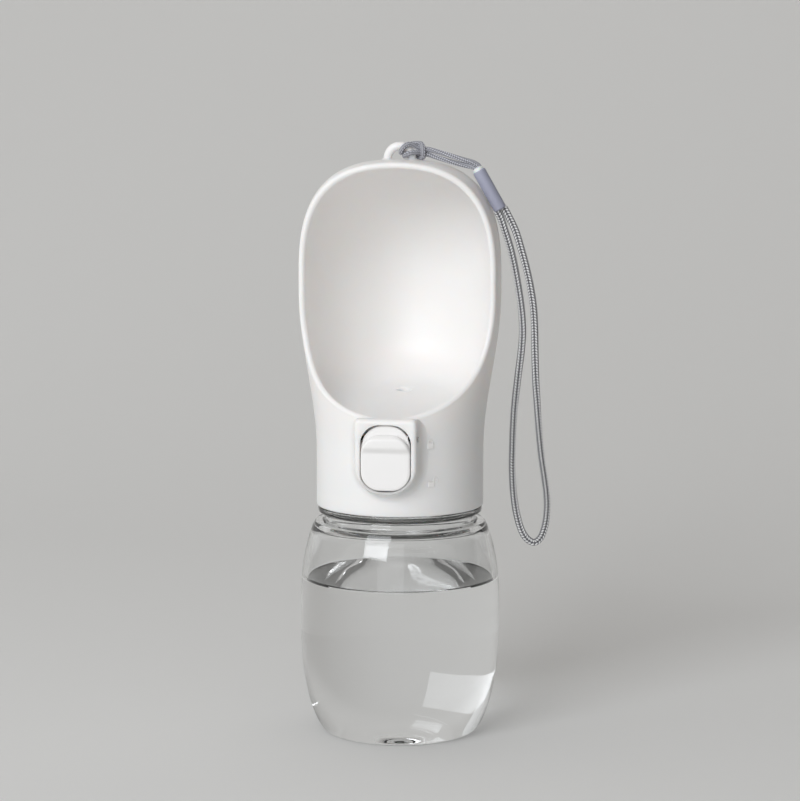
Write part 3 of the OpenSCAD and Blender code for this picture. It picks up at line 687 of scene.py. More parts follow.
def housing_rings(edge, fillet):
    """Rings of the button's housing, from inside its window out to the collar."""
    window = lambda grow: rounded_outline(WINDOW_W, WINDOW_Z, WINDOW_TOP, WINDOW_R, WINDOW_R, grow)
    wider = lambda grow: rounded_outline(HOUSING_W, HOUSING_Z, HOUSING_TOP, HOUSING_R, 1.6, grow)
    spread = lambda by, top: rounded_outline(HOUSING_W + 2 * by, HOUSING_Z - by, top,
                                             HOUSING_R + by, 1.6)
    rings = [raised(window(0), -28.4), raised(window(0), FACE_Y + 0.25),
             raised(window(0.07), FACE_Y + 0.07), raised(window(0.25), FACE_Y)]
    # the edge round the face is rounder at its top, where it fades into the bowl
    outline, inward = wider(0), wider(-1) - wider(0)
    radius = (edge + 0.4 * ease((outline[:, 1] - HOUSING_TOP + 3) / 2.6))[:, None]
    for a in np.radians(np.linspace(0, 90, 8)):
        flat = outline + inward * radius * (1 - math.sin(a))
        rings.append(raised(flat, FACE_Y + radius[:, 0] * (1 - math.cos(a))))
    # where each point of the outline goes back to: the collar, or the bowl's lip at the top
    last = rings[-1]
    top = ease((last[:, 2] - (HOUSING_TOP - 6)) / 5.4)[:, None]
    near, far = spread(0.5 * fillet, HOUSING_TOP - 0.4), spread(fillet + 1.3, HOUSING_TOP - 0.8)
    foot = raised(far, collar_y(far[:, 0], far[:, 1]) + 0.02)
    bend = raised(near, collar_y(near[:, 0], near[:, 1]))
    foot = foot * (1 - top) + (last * (1, 0, 0) + (0, -29.2, HOUSING_TOP - 0.7)) * top
    bend = bend * (1 - top) + (last * (1, 0, 0) + (0, -30.2, HOUSING_TOP - 0.03)) * top
    depth = np.minimum(bend[:, 1] - 1.8, -30.8)
    wall = last + (bend - last) * ((depth - last[:, 1]) / (bend[:, 1] - last[:, 1]))[:, None]
    rings += [last + (wall - last) * t for t in (0.33, 0.67)]
    for t in np.linspace(0, 1, 14):
        rings.append((1 - t) ** 2 * wall + 2 * t * (1 - t) * bend + t * t * foot)
    rings.append(foot + (0, 1.2, 0))
    rings.append(raised(window(1.0), -27.8))
    return rings


def cap_depth(z, ledge):
    """How far forward the button's face stands: a pad, a soft step up to the ledge, a bevel."""
    step = ease((z - 106.4) / 2.6)
    bevel = 1 - ease((z - 111.3) / 1.9)
    return -(step * ledge * (0.15 + 0.85 * bevel))


def cap_rings(width, ledge):
    """Rings of the push button, from the middle of its face round its edge to its back."""
    rings = []
    outline = lambda grow: rounded_outline(width, CAP_Z, CAP_TOP, CAP_R, CAP_R, grow)
    full = outline(0)
    heart = np.array([0.0, (CAP_Z + CAP_TOP) / 2])
    inner = outline(-1.3)
    for t in np.linspace(0.03, 1, 26):
        flat = heart + (inner - heart) * t
        rings.append(raised(flat, CAP_FACE + cap_depth(flat[:, 1], ledge)))
    for grow, drop in ((-0.95, 0.01), (-0.65, 0.05), (-0.42, 0.11), (-0.24, 0.2), (-0.11, 0.32),
                       (-0.03, 0.46), (0, 0.62)):
        flat = outline(grow)
        depth = cap_depth(flat[:, 1], ledge)
        rings.append(raised(flat, CAP_FACE + drop + depth * max(0, 1 - drop)))
    rings.append(raised(full, CAP_BACK))
    for t in (0.97, 0.6, 0.03):
        rings.append(raised(heart + (full - heart) * t, CAP_BACK))
    return rings


def rocker_rings(width):
    """Rings of the rocker's plate behind the button; its top shows above the button."""
    low, high, front, back = 93.6, 116.2, -33.5, -31.6
    outline = lambda grow: rounded_outline(width, low, high, CAP_R, CAP_R + 1.1, grow) - (0.15, 0)
    heart = np.array([0.0, (low + high) / 2])
    rings = [raised(heart + (outline(-0.5) - heart) * t, front) for t in (0.03, 0.4, 0.8, 1)]
    for grow, drop in ((-0.25, 0.04), (-0.08, 0.14), (0, 0.32)):
        rings.append(raised(outline(grow), front + drop))
    rings.append(raised(outline(0), back))
    rings += [raised(heart + (outline(0) - heart) * t, back) for t in (0.8, 0.4, 0.03)]
    return rings


# ---------------------------------------------------------------- cords

# points are (across, towards the back, up) in millimetres, turned with the lanyard
HITCH = ((27.2, -8, 203.9), (26.7, -8, 204.8), (25.5, -7.6, 205.5), (22.5, -6.4, 206.2),
         (19.2, -5.1, 207), (12.8, -2.7, 208.9), (10, -1.8, 209.8), (7.6, -1.2, 210.4),
         (5.4, -2.4, 210.6), (3.4, -3.1, 210.2), (2, -2.2, 209.6), (1.6, -0.4, 209.2),
         (2.4, 1.4, 209.4), (4, 2, 209.8), (5.7, 1.6, 209.4), (6.9, 0.7, 208.9),
         (8, -0.9, 208.6), (8.3, -2.6, 209.1), (8.3, -3.2, 210.4), (8.2, -3.2, 211.8),
         (7.9, -2.3, 213.2), (7, -0.7, 213.7), (5.8, 0.5, 213.7), (4.3, 1.6, 213.5),
         (2.9, 2.2, 213), (1.6, 2.1, 211.9), (0.7, 1, 210.7), (0.4, -0.6, 210.4),
         (0.5, -2.1, 211), (1.3, -2.9, 212.4), (2.7, -2.8, 213.4), (4.3, -2.1, 213.3),
         (5.8, -1.4, 212.5), (7.7, -1.2, 211.9), (10.2, -2.3, 211.6), (15.5, -4.4, 210.2),
         (21.8, -6.8, 208.3), (26.2, -7.9, 207), (27.9, -8, 205.9), (28.6, -8, 204.7))
STRAP = ((34.53, -8, 189.84), (35.81, -8, 187.57), (37.4, -7.8, 183), (39.2, -7.3, 177.5),
         (40.7, -6.7, 171.5), (41.9, -6, 165.5), (43, -5.2, 159), (43.8, -4.4, 152.5),
         (44.1, -3.7, 146), (43.7, -3, 139.5), (42.9, -2.4, 132.5), (42.1, -1.9, 125.5),
         (41.4, -1.5, 118.5), (41, -1.1, 111.5), (40.8, -0.8, 104.5), (40.7, -0.5, 97.5),
         (41, -0.3, 90.5), (41.7, -0.1, 84), (42.9, 0, 77.8), (44.7, 0, 72.5),
         (46.9, 0.1, 69.6), (49.2, 0.2, 68.7), (51.3, 0.3, 70.3), (52.9, 0.4, 74.6),
         (53.6, 0.4, 80.5), (53.4, 0.3, 86.5), (52.5, 0.1, 93), (51.5, -0.2, 99.5),
         (50.7, -0.5, 106.5), (50.1, -0.9, 113.5), (49.6, -1.3, 120.5), (49.1, -1.8, 127.5),
         (48.8, -2.4, 134.5), (48.6, -3, 141.5), (48.4, -3.8, 148.5), (47.9, -4.6, 155.5),
         (46.8, -5.5, 162.5), (45.2, -6.4, 169.5), (43.2, -7.2, 176.5), (41.1, -7.7, 183),
         (38.17, -8, 188.9), (36.89, -8, 191.17))
SLEEVE_TOP, SLEEVE_FOOT = (27.9, -8, 204.3), (35.7, -8, 190.5)


def turned(points):
    """Points of the lanyard as rows in millimetres, in the bottle's own directions."""
    p = np.atleast_2d(np.asarray(points, float))
    c, s = math.cos(TURN), math.sin(TURN)
    return np.stack([p[:, 0] * c - p[:, 1] * s, p[:, 0] * s + p[:, 1] * c, p[:, 2]], 1)


def smooth_route(points, step):
    """A smooth curve through the points, with a point every step millimetres."""
    p = np.asarray(points, float)
    p = np.concatenate([2 * p[:1] - p[1:2], p, 2 * p[-1:] - p[-2:-1]])
    rows = []
    for i in range(1, len(p) - 2):
        a, b, c, d = p[i - 1:i + 3]
        k = [0.0]
        for here, there in ((a, b), (b, c), (c, d)):
            k.append(k[-1] + max(np.linalg.norm(there - here), 1e-6) ** 0.5)
        for t in np.linspace(k[1], k[2], 24, endpoint=False):
            q1 = (k[1] - t) / (k[1] - k[0]) * a + (t - k[0]) / (k[1] - k[0]) * b
            q2 = (k[2] - t) / (k[2] - k[1]) * b + (t - k[1]) / (k[2] - k[1]) * c
            q3 = (k[3] - t) / (k[3] - k[2]) * c + (t - k[2]) / (k[3] - k[2]) * d
            r1 = (k[2] - t) / (k[2] - k[0]) * q1 + (t - k[0]) / (k[2] - k[0]) * q2
            r2 = (k[3] - t) / (k[3] - k[1]) * q2 + (t - k[1]) / (k[3] - k[1]) * q3
            rows.append((k[2] - t) / (k[2] - k[1]) * r1 + (t - k[1]) / (k[2] - k[1]) * r2)
    rows.append(p[-2])
    rows = np.array(rows)
    run = np.concatenate([[0], np.cumsum(np.linalg.norm(np.diff(rows, axis=0), axis=1))])
    count = max(2, int(run[-1] / step))
    at = np.linspace(0, run[-1], count + 1)
    return np.stack([np.interp(at, run, rows[:, i]) for i in range(3)], 1), at


def stitch_height(along, around, columns, pitch):
    """Height, 0 to 1, of a flat braid's slanted stitches."""
    place = around * columns + 0.5
    narrow = np.floor(place) % (columns / 2) < 0.5
    lean = 0.6 * (1 - np.abs(place % 2 - 1))
    run = (along / pitch + lean) * np.where(narrow, 2, 1)
    return (np.sin(run % 1 * math.pi) ** 0.5) * (np.sin(place % 1 * math.pi) ** 0.4)


def tube(name, route, along, width, depth, sides, twist, columns, pitch, relief):
    """A braided tube along a route, as wide and deep as given, that twists on its way."""
    heading = unit(np.gradient(route, axis=0))
    side = np.array([0.0, 1.0, 0.0])
    rings = []
    around = np.arange(sides) / sides
    a = around * 2 * math.pi
    flat_x = np.sign(np.cos(a)) * np.abs(np.cos(a)) ** 0.75
    flat_y = np.sign(np.sin(a)) * np.abs(np.sin(a)) ** 0.75
    for i, h in enumerate(heading):
        side = unit(side - (side @ h) * h)
        up = np.cross(h, side)
        lift = relief * (stitch_height(along[i], around, columns, pitch) - 0.8)
        x, y = (width / 2 + lift) * flat_x, (depth / 2 + lift) * flat_y
        c, s = math.cos(twist(along[i])), math.sin(twist(along[i]))
        rings.append(route[i] + np.outer(x * c - y * s, side) + np.outer(x * s + y * c, up))
    obj = from_rings(name, rings, around=False, caps=True)
    layer = obj.data.uv_layers.new(name="along")
    walls = (len(rings) - 1) * sides
    for face in obj.data.polygons:
        seam = face.index < walls and face.index % sides == sides - 1
        for loop in face.loop_indices:
            ring, corner = divmod(obj.data.loops[loop].vertex_index, sides)
            if seam and corner == 0:
                corner = sides
            layer.data[loop].uv = (along[ring], corner / sides)
    outward_only(obj)
    return obj


def outward_only(obj):
    """Turns all faces of obj outwards and leaves its vertices and map alone."""
    edit_all(obj)
    bpy.ops.mesh.normals_make_consistent(inside=False)
    close_edit()


# ---------------------------------------------------------------- one operator for each piece

class Maker(bpy.types.Operator):
    """Shared by the operators: they all can be undone"""
    bl_options = {"REGISTER", "UNDO"}

    @property
    def settings(self):
        return bpy.context.scene.dog_bottle


BARREL_Z = (12, 14.5, 17, 20, 23, 26.5, 30, 33.5, 37, 41, 45, 49, 53, 60.5, 64, 67, 69.5, 72)


def barrel_radius(z, belly, foot):
    """Outer radius of the bottle at height z."""
    if z < 41:
        return foot + (belly - foot) * (1 - ((41 - z) / 41) ** 2.2) ** (2 / 3)
    return belly - (belly - 31.2) * ((z - 41) / 36.2) ** 2.8


class DOGBOTTLE_OT_bottle(Maker):
    """Clear bottle with its foot, barrel, shoulder, bead, neck and screw thread"""
    bl_idname = "dog_bottle.bottle"
    bl_label = "Clear bottle"

    def execute(self, context):
        sizes = self.settings.bottle
        belly, foot, wall = sizes.belly / MM / 2, sizes.foot / MM / 2, sizes.wall / MM
        outer = [(0, 3.0), (4.3, 2.93), (6.1, 2.6), (7.2, 1.95), (7.9, 1.15), (8.6, 0.64),
                 (9.8, 0.43), (13, 0.4), (18, 0.4), (22.4, 0.35), (24, 0.12), (25.2, 0),
                 (26.4, 0.03), (27.1, 0.14)]
        level, floor = sizes.water / MM, 3.5
        heights = sorted([0.3, 0.6, 1.0, 1.5, 2.2, 3.0, 4.0, 5.2, 6.6, 8.2, 10, *BARREL_Z, level,
                          74, 75.6])
        outer += [(barrel_radius(z, belly, foot), z) for z in heights]
        outer += [(31.25, 76.5), (31.05, 77.1), (30.6, 77.5), (29.9, 77.75), (28.6, 77.8),
                  (27.9, 77.9), (27.55, 78.15), (27.5, 78.6), (27.5, 80.2), (27.6, 80.6),
                  (27.9, 80.85), (29.2, 80.9), (29.6, 81.0), (29.8, 81.3), (29.8, 82.5),
                  (29.65, 82.8), (29.3, 82.9), (25.2, 82.9), (24.75, 83.05), (24.6, 83.4),
                  (24.6, 94.5), (24.45, 94.95), (24.1, 95.1)]
        inner = [(23.0, 95.1), (22.72, 95.0), (22.6, 94.7), (22.6, 83.6), (22.8, 83.0),
                 (24.9, 81.2), (25.3, 80.8), (25.5, 80.2), (25.5, 78.4), (25.7, 77.6),
                 (26.3, 76.9), (27.6, 76.1), (28.7, 75.3)]
        heights = sorted([8.8, 10.2, *BARREL_Z, level, 74.2], reverse=True)
        inner += [(barrel_radius(z, belly, foot) - wall, z) for z in heights]
        inner += [(28.0, 7.4), (26.6, 5.9), (24.8, 4.9), (22.6, 4.35), (20.0, 4.15), (16.0, 4.2),
                  (11, 4.5), (6, 4.85), (0, 5.0)]
        obj = lathe(outer + inner, 160)
        cut(obj, self.ridge(), "UNION")
        settle(obj, "bottle", 50)
        obj.data.materials.clear()
        obj.data.materials.append(clear_plastic("clear copolyester", sizes.tint))
        obj.data.materials.append(clear_plastic("wet outside", sizes.tint, 1.38, 0.38))
        obj.data.materials.append(clear_plastic("wet inside", (1, 1, 1), 1.0, 1.0))
        # wet faces have water, not air, on their inner side, so they bend light less or not at all
        for face in obj.data.polygons:
            if face.center.z < level * MM:
                inward = face.normal.x * face.center.x + face.normal.y * face.center.y < 0
                inside = face.center.z > floor * MM and (inward or face.normal.z > 0.5)
                face.material_index = 2 if inside else 1
        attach(obj, "bottle")
        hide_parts("bottle_body")
        return {"FINISHED"}

    @staticmethod
    def ridge():
        """The neck's thread, a ridge that fades in and out."""
        turns, per_turn = 1.8, 60
        steps = int(turns * per_turn)
        rings = []
        for i in range(steps + 1):
            a = 2 * math.pi * i / per_turn
            z = 82.9 + 2.7 + 4.0 * i / per_turn
            fade = min(1, (i + 1) / 9, (steps - i + 1) / 9)
            crest = 24.0 + 1.8 * (0.5 + 0.5 * fade)
            shape = ((24.0, z - 0.9), (crest - 0.15, z - 0.46), (crest, z - 0.3),
                     (crest, z + 0.3), (crest - 0.15, z + 0.46), (24.0, z + 0.9))
            rings.append([(r * math.cos(a), r * math.sin(a), h) for r, h in shape])
        obj = from_rings("thread", rings, around=False, caps=True)
        outward_only(obj)
        return obj


class DOGBOTTLE_OT_water(Maker):
    """Water that fills two thirds of the bottle"""
    bl_idname = "dog_bottle.water"
    bl_label = "Water"

    def execute(self, context):
        sizes = self.settings.bottle
        belly, foot = sizes.belly / MM / 2, sizes.foot / MM / 2
        wall, level = sizes.wall / MM - 0.06, sizes.water / MM
        profile = [(0, 4.94), (6, 4.79), (11, 4.44), (16, 4.14), (20, 4.09), (22.63, 4.29),
                   (24.85, 4.85), (26.66, 5.86), (28.06, 7.38)]
        profile += [(barrel_radius(z, belly, foot) - wall, z) for z in (8.8, 10.2, *BARREL_Z)
                    if z < level - 0.5]
        edge = barrel_radius(level, belly, foot) - wall
        profile += [(edge, level + 0.9), (edge - 0.35, level + 0.45), (edge - 1.0, level + 0.12),
                    (edge - 2.2, level), (edge - 12, level), (0, level)]
        obj = lathe(profile, 160)
        settle(obj, "water", 50)
        obj.data.materials.append(water_look("still water"))
        obj.data.materials.append(wet_side("water at the wall"))
        for face in obj.data.polygons:
            face.material_index = 0 if face.center.z > (level - 0.2) * MM else 1
        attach(obj, "bottle")
        return {"FINISHED"}


def window_cutter():
    """A block as big as the button's window, which goes through the collar's wall."""
    ring = rounded_outline(WINDOW_W, WINDOW_Z, 113.8, WINDOW_R, 4.0, 0.3)
    block = from_rings("cutter", [raised(ring, -36.0), raised(ring, -22.4)],
                       around=False, caps=True)
    outward_only(block)
    return block


class DOGBOTTLE_OT_head(Maker):
    """White head: collar, bowl with its round lip, and water outlet"""
    bl_idname = "dog_bottle.head"
    bl_label = "Head"

    def execute(self, context):
        sizes = self.settings.head
        rings = head_rings(sizes.wall / MM, sizes.lip / MM, sizes.fillet / MM,
                           sizes.outlet / MM)
        obj = from_rings("head", rings)
        outward_only(obj)
        cut(obj, window_cutter())
        settle(obj, "head", 45)
        obj.data.materials.clear()
        obj.data.materials.append(moulded("white shell", sizes.shell, glow=0.5))
        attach(obj, "head")
        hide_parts("head_shell")
        return {"FINISHED"}


class DOGBOTTLE_OT_eye(Maker):
    """Half-ring eye on top of the head, with softly spread feet"""
    bl_idname = "dog_bottle.eye"
    bl_label = "Lanyard eye"

    def execute(self, context):
        obj = from_rings("lanyard_eye", eye_rings(), around=False, caps=True)
        settle(obj, "lanyard_eye", 60)
        outward_only(obj)
        obj.data.materials.append(bpy.data.materials["white shell"])
        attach(obj, "head")
        return {"FINISHED"}


class DOGBOTTLE_OT_housing(Maker):
    """Raised housing round the button, in one moulding with the head"""
    bl_idname = "dog_bottle.housing"
    bl_label = "Button housing"

    def execute(self, context):
        sizes = self.settings.button
        head = bpy.data.objects["head"]
        housing = from_rings("housing", housing_rings(sizes.edge / MM, sizes.fillet / MM))
        outward_only(housing)
        cut(head, housing, "UNION")
        # the pin's small hole in each side, and the wider pocket behind it
        for radius, depth in ((1.0, THROUGH), (1.5, 21.8)):
            cut(head, rod(radius, depth, (0, PIN_Y, PIN_Z), ALONG_X, 32))
        edit_all(head)
        bpy.ops.mesh.remove_doubles(threshold=1e-7)
        bpy.ops.mesh.fill_holes(sides=12)
        bpy.ops.mesh.normals_make_consistent(inside=False)
        close_edit()
        settle(head, "head", 45)
        return {"FINISHED"}


class DOGBOTTLE_OT_lock_marks(Maker):
    """Two small raised padlocks beside the button, one closed and one open"""
    bl_idname = "dog_bottle.lock_marks"
    bl_label = "Lock marks"

    def execute(self, context):
        marks = [self.padlock(14.8, 108.9, True), self.padlock(15.1, 95.3, False)]
        obj = join(*marks)
        settle(obj, "lock_marks", 50)
        obj.data.materials.clear()
        obj.data.materials.append(moulded("raised marks", self.settings.head.shell))
        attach(obj, "head")
        return {"FINISHED"}

    @staticmethod
    def padlock(x, z, closed):
        """A body and a shackle, laid on the collar."""
        deselect_all()
        bpy.ops.mesh.primitive_cube_add(size=MM, location=(0, 0, -0.55 * MM),
                                        scale=(2.5, 0.6, 1.9))
        body = bpy.context.object
        bpy.ops.object.transform_apply(location=True, rotation=True, scale=True)
        apply_modifier(body, "BEVEL", width=0.22 * MM, segments=3)
        edit_all(body)
        bpy.ops.mesh.subdivide(number_cuts=3)
        close_edit()
        foot, reach = (0.95 if closed else 1.15) * MM, 0.78 * MM
        deselect_all()
        bpy.ops.mesh.primitive_torus_add(
            major_radius=reach, minor_radius=0.18 * MM, major_segments=28, minor_segments=10,
            location=(0, 0, foot), rotation=ALONG_Y)
        shackle = bpy.context.object
        bpy.ops.object.transform_apply(location=True, rotation=True, scale=True)
        edit_all(shackle)
        bpy.ops.mesh.bisect(plane_co=(0, 0, foot), plane_no=(0, 0, 1), clear_inner=True)
        for side in ((-1, 1) if closed else (-1,)):
            close_edit()
            for v in shackle.data.vertices:
                v.select = v.co.x * side > 0 and abs(v.co.z - foot) < 1e-6
            bpy.ops.object.mode_set(mode="EDIT")
            bpy.ops.mesh.extrude_region_move(
                TRANSFORM_OT_translate={"value": (0, 0, 0.25 * MM - foot)})
        bpy.ops.mesh.select_all(action="DESELECT")
        bpy.ops.mesh.select_non_manifold()
        bpy.ops.mesh.edge_face_add()
        close_edit()
        if not closed:
            # swung open about its left leg, which now stands at the body's right
            for v in shackle.data.vertices:
                v.co.x += 2 * reach
        obj = join(body, shackle)
        # laid round the collar: across becomes an angle, and depth a distance from its surface
        start = math.asin(x / COLLAR_R)
        for v in obj.data.vertices:
            up = z + v.co.z / MM
            r = float(wall_radius(up)) - v.co.y / MM * 0.9
            a = start + v.co.x / MM / COLLAR_R
            v.co = Vector((r * math.sin(a), -r * math.cos(a), up)) * MM
        outward_only(obj)
        return obj


class DOGBOTTLE_OT_button(Maker):
    """Push button with its thumb ledge and bare pad"""
    bl_idname = "dog_bottle.button"
    bl_label = "Push button"

    def execute(self, context):
        sizes = self.settings.button
        obj = from_rings("push_button", cap_rings(sizes.width / MM + 0.16, sizes.ledge / MM),
                         around=False, caps=True)
        outward_only(obj)
        for side in (-1, 1):
            cut(obj, rod(0.6, 6, (side * NOTCH_X, -34, NOTCH_Z), ALONG_Y, 24))
        hooks = [self.hook(side * 5.0) for side in (-1, 1)]
        join(obj, *hooks)
        settle(obj, "push_button", 40)
        obj.data.materials.clear()
        obj.data.materials.append(moulded("white button", sizes.cap, 0.36, 0.035, 0.015))
        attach(obj, "button")
        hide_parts("button_cap")
        return {"FINISHED"}

    @staticmethod
    def hook(x):
        """A hook that reaches back through the rocker and holds the button on it."""
        deselect_all()
        bpy.ops.mesh.primitive_cube_add(size=MM, location=(x * MM, -32.55 * MM, 104.4 * MM),
                                        scale=(2, 2.2, 4))
        hook = bpy.context.object
        bpy.ops.object.transform_apply(location=True, rotation=True, scale=True)
        for thing in (*hook.data.vertices, *hook.data.edges):
            thing.select = False
        for face in hook.data.polygons:
            face.select = face.normal.y > 0.9
        bpy.ops.object.mode_set(mode="EDIT")
        bpy.context.tool_settings.mesh_select_mode = (False, False, True)
        bpy.ops.mesh.extrude_region_move(TRANSFORM_OT_translate={"value": (0, 0.01 * MM, 0)})
        bpy.ops.transform.resize(value=(1.7, 1, 1),
                                 center_override=(x * MM, -31.44 * MM, 104.4 * MM))
        bpy.ops.mesh.extrude_region_move(TRANSFORM_OT_translate={"value": (0, 0.79 * MM, 0)})
        bpy.context.tool_settings.mesh_select_mode = (True, False, False)
        close_edit()
        apply_modifier(hook, "BEVEL", width=0.12 * MM, segments=2)
        outward_only(hook)
        return hook


class DOGBOTTLE_OT_rocker(Maker):
    """Rocker plate behind the button, with its barrel round the pin and its nose"""
    bl_idname = "dog_bottle.rocker"
    bl_label = "Rocker"

    def execute(self, context):
        sizes = self.settings.button
        obj = from_rings("rocker", rocker_rings(sizes.width / MM - 0.16), around=False,
                         caps=True)
        outward_only(obj)
        nose = lathe([(0, -3)] + [(2, -3), (2, 0)] + [
            (2 * math.cos(a), 2 * math.sin(a)) for a in np.radians(np.linspace(12, 78, 7))]
            + [(0, 2)], 40)
        pick(nose)
        nose.rotation_euler = (-math.pi / 2, 0, 0)
        nose.location = Vector((0, -29.2, 103.5)) * MM
        bpy.ops.object.transform_apply(location=True, rotation=True, scale=True)
        cut(obj, nose, "UNION")
        cut(obj, rod(1.15, 15.4, (0, PIN_Y, PIN_Z), ALONG_X, 48), "UNION")
        cut(obj, rod(0.8, THROUGH, (0, PIN_Y, PIN_Z), ALONG_X, 48))
        for side in (-1, 1):
            deselect_all()
            bpy.ops.mesh.primitive_cube_add(
                size=MM, location=(side * 5 * MM, -32.5 * MM, 105.9 * MM), scale=(2.3, 6, 7.3))
            cut(obj, bpy.context.object)
            cut(obj, rod(0.75, 6, (side * NOTCH_X, -32.5, NOTCH_Z), ALONG_Y, 24))
        settle(obj, "rocker", 40)
        obj.data.materials.clear()
        obj.data.materials.append(moulded("rocker plastic", (0.90, 0.89, 0.885), 0.42, 0.05))
        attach(obj, "rocker")
        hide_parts("button_carrier")
        return {"FINISHED"}


class DOGBOTTLE_OT_hitch_cord(Maker):
    """Thin braided cord, hitched to the eye"""
    bl_idname = "dog_bottle.hitch_cord"
    bl_label = "Hitch cord"

    def execute(self, context):
        sizes = self.settings.lanyard
        d = sizes.cord / MM
        route, along = smooth_route(turned(HITCH), 0.1)
        columns, pitch = 6, 0.85
        obj = tube("thin_cord", route, along, d * 1.2, d * 1.2, 36, lambda s: s / 9.0,
                   columns, pitch, 0.16)
        settle(obj, "thin_cord", 70)
        tone = Vector(sizes.lilac)
        # the third tone, a quarter of the lilac, is painted shade in the braid's gaps
        obj.data.materials.append(braided(
            "lilac braid", (tuple(tone), tuple(tone * 0.75), tuple(tone * 0.25)), columns, pitch,
            0.5))
        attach(obj, "head")
        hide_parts("hitch_cord")
        return {"FINISHED"}


class DOGBOTTLE_OT_sleeve(Maker):
    """Grey sleeve that joins the thin cord and the strap"""
    bl_idname = "dog_bottle.sleeve"
    bl_label = "Cord sleeve"

    def execute(self, context):
        sizes = self.settings.lanyard
        top, foot = Vector(turned(SLEEVE_TOP)[0] * MM), Vector(turned(SLEEVE_FOOT)[0] * MM)
        axis = top - foot
        deselect_all()
        bpy.ops.mesh.primitive_cylinder_add(vertices=64, radius=sizes.sleeve / 2,
                                            depth=axis.length, end_fill_type="NGON")
        obj = bpy.context.object
        edit_all(obj)
        bpy.context.tool_settings.mesh_select_mode = (False, False, True)
        close_edit()
        for face in obj.data.polygons:
            face.select = abs(face.normal.z) > 0.9
        bpy.ops.object.mode_set(mode="EDIT")
        bpy.ops.mesh.inset(thickness=0.9 * MM)
        bpy.ops.mesh.inset(thickness=0.5 * MM)
        bpy.context.tool_settings.mesh_select_mode = (True, False, False)
        close_edit()
        apply_modifier(obj, "BEVEL", width=0.7 * MM, segments=5, limit_method="ANGLE",
                       angle_limit=math.radians(50))
        # pressed a little flat, with a faint waist where the cord and strap are held
        half = axis.length / 2
        for v in obj.data.vertices:
            waist = 1 - 0.02 * math.cos(v.co.z / half * 2.4) ** 2
            v.co.x *= waist
            v.co.y *= 0.9 * waist
        turn = axis.to_track_quat("Z", "Y")
        middle = (top + foot) / 2
        for v in obj.data.vertices:
            v.co = turn @ v.co + middle
        settle(obj, "cord_sleeve_skin", 50)
        self.tip(turn, top, sizes.sleeve / 2)
        tone = tuple(sizes.sleeve_grey)
        obj.data.materials.append(moulded("sleeve rubber", tone, 0.5, 0.08, 0.06))
        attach(obj, "head")
        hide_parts("cord_sleeve")
        return {"FINISHED"}

    @staticmethod
    def tip(turn, top, radius):
        """The translucent plug that closes the sleeve's upper end round the cord."""
        r = radius / MM * 0.84
        profile = [(0, -1.2), (r, -1.2), (r, 0.25), (r * 0.96, 0.6), (r * 0.84, 0.95),
                   (r * 0.6, 1.2), (r * 0.3, 1.3), (0, 1.32)]
        obj = lathe(profile, 48)
        for v in obj.data.vertices:
            v.co.y *= 0.88
            v.co = turn @ v.co + top
        settle(obj, "sleeve_tip", 50)
        obj.data.materials.append(milky("clear plug", (0.80, 0.84, 0.84)))
        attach(obj, "head")


class DOGBOTTLE_OT_strap(Maker):
    """Flat braided wrist strap, one loop that twists as it hangs"""
    bl_idname = "dog_bottle.strap"
    bl_label = "Wrist strap"

    def execute(self, context):
        sizes = self.settings.lanyard
        width, depth = sizes.strap / MM, sizes.strap_depth / MM
        route, along = smooth_route(turned(STRAP), 0.13)
        twist = lambda s: 1.5 + 0.6 * math.sin(s / 21.0 + 0.5)
        columns, pitch = 6, 1.05
        obj = tube("strap_loop", route, along, width, depth, 40, twist, columns, pitch, 0.24)
        settle(obj, "strap_loop", 70)
        # the near-black third tone fills the braid's gaps: partly the strap's black yarn, partly
        # painted shade in the grooves
        obj.data.materials.append(braided(
            "black and white braid", ((0.88, 0.88, 0.89), (0.42, 0.42, 0.43),
                                      (0.09, 0.09, 0.10)), columns, pitch, 0.6))
        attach(obj, "head")
        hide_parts("wrist_strap")
        return {"FINISHED"}


class DOGBOTTLE_OT_inner_parts(Maker):
    """Finishes of the valve, seals, screws, spring and pin"""
    bl_idname = "dog_bottle.inner_parts"
    bl_label = "Inner parts"

    def execute(self, context):
        natural = moulded("natural plastic", (0.82, 0.82, 0.80), 0.4, 0.05)
        grey = moulded("valve plastic", (0.55, 0.57, 0.60), 0.38, 0.05)
        looks = {
            "neck_gasket": milky("silicone", (0.78, 0.78, 0.77)),
            "outlet_grommet": milky("grommet silicone", (0.8, 0.8, 0.79)),
            "thread_insert": natural,
            "valve_plunger": natural,
            "valve_housing": grey, "stem_gland": grey, "end_cap": grey,
            "valve_screws": metal("screw steel", (0.62, 0.62, 0.63), 0.28),
            "return_spring": metal("spring steel", (0.56, 0.57, 0.58), 0.25),
            # the pin is near black: painted shade, so that the pin hole in each side of the housing
            # reads as a dark slit
            "pivot_pin": metal("pin steel darkened as hole shade", (0.035, 0.034, 0.033), 0.5),
        }
        black = rubber("black rubber", (0.03, 0.03, 0.032))
        for name in ("stem_seal", "inlet_seal", "end_cap_seal", "poppet_seal"):
            looks[name] = black
        for name, look in looks.items():
            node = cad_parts[name]
            node.data.materials.clear()
            node.data.materials.append(look)
            for slot in node.material_slots:
                slot.material = look
        return {"FINISHED"}


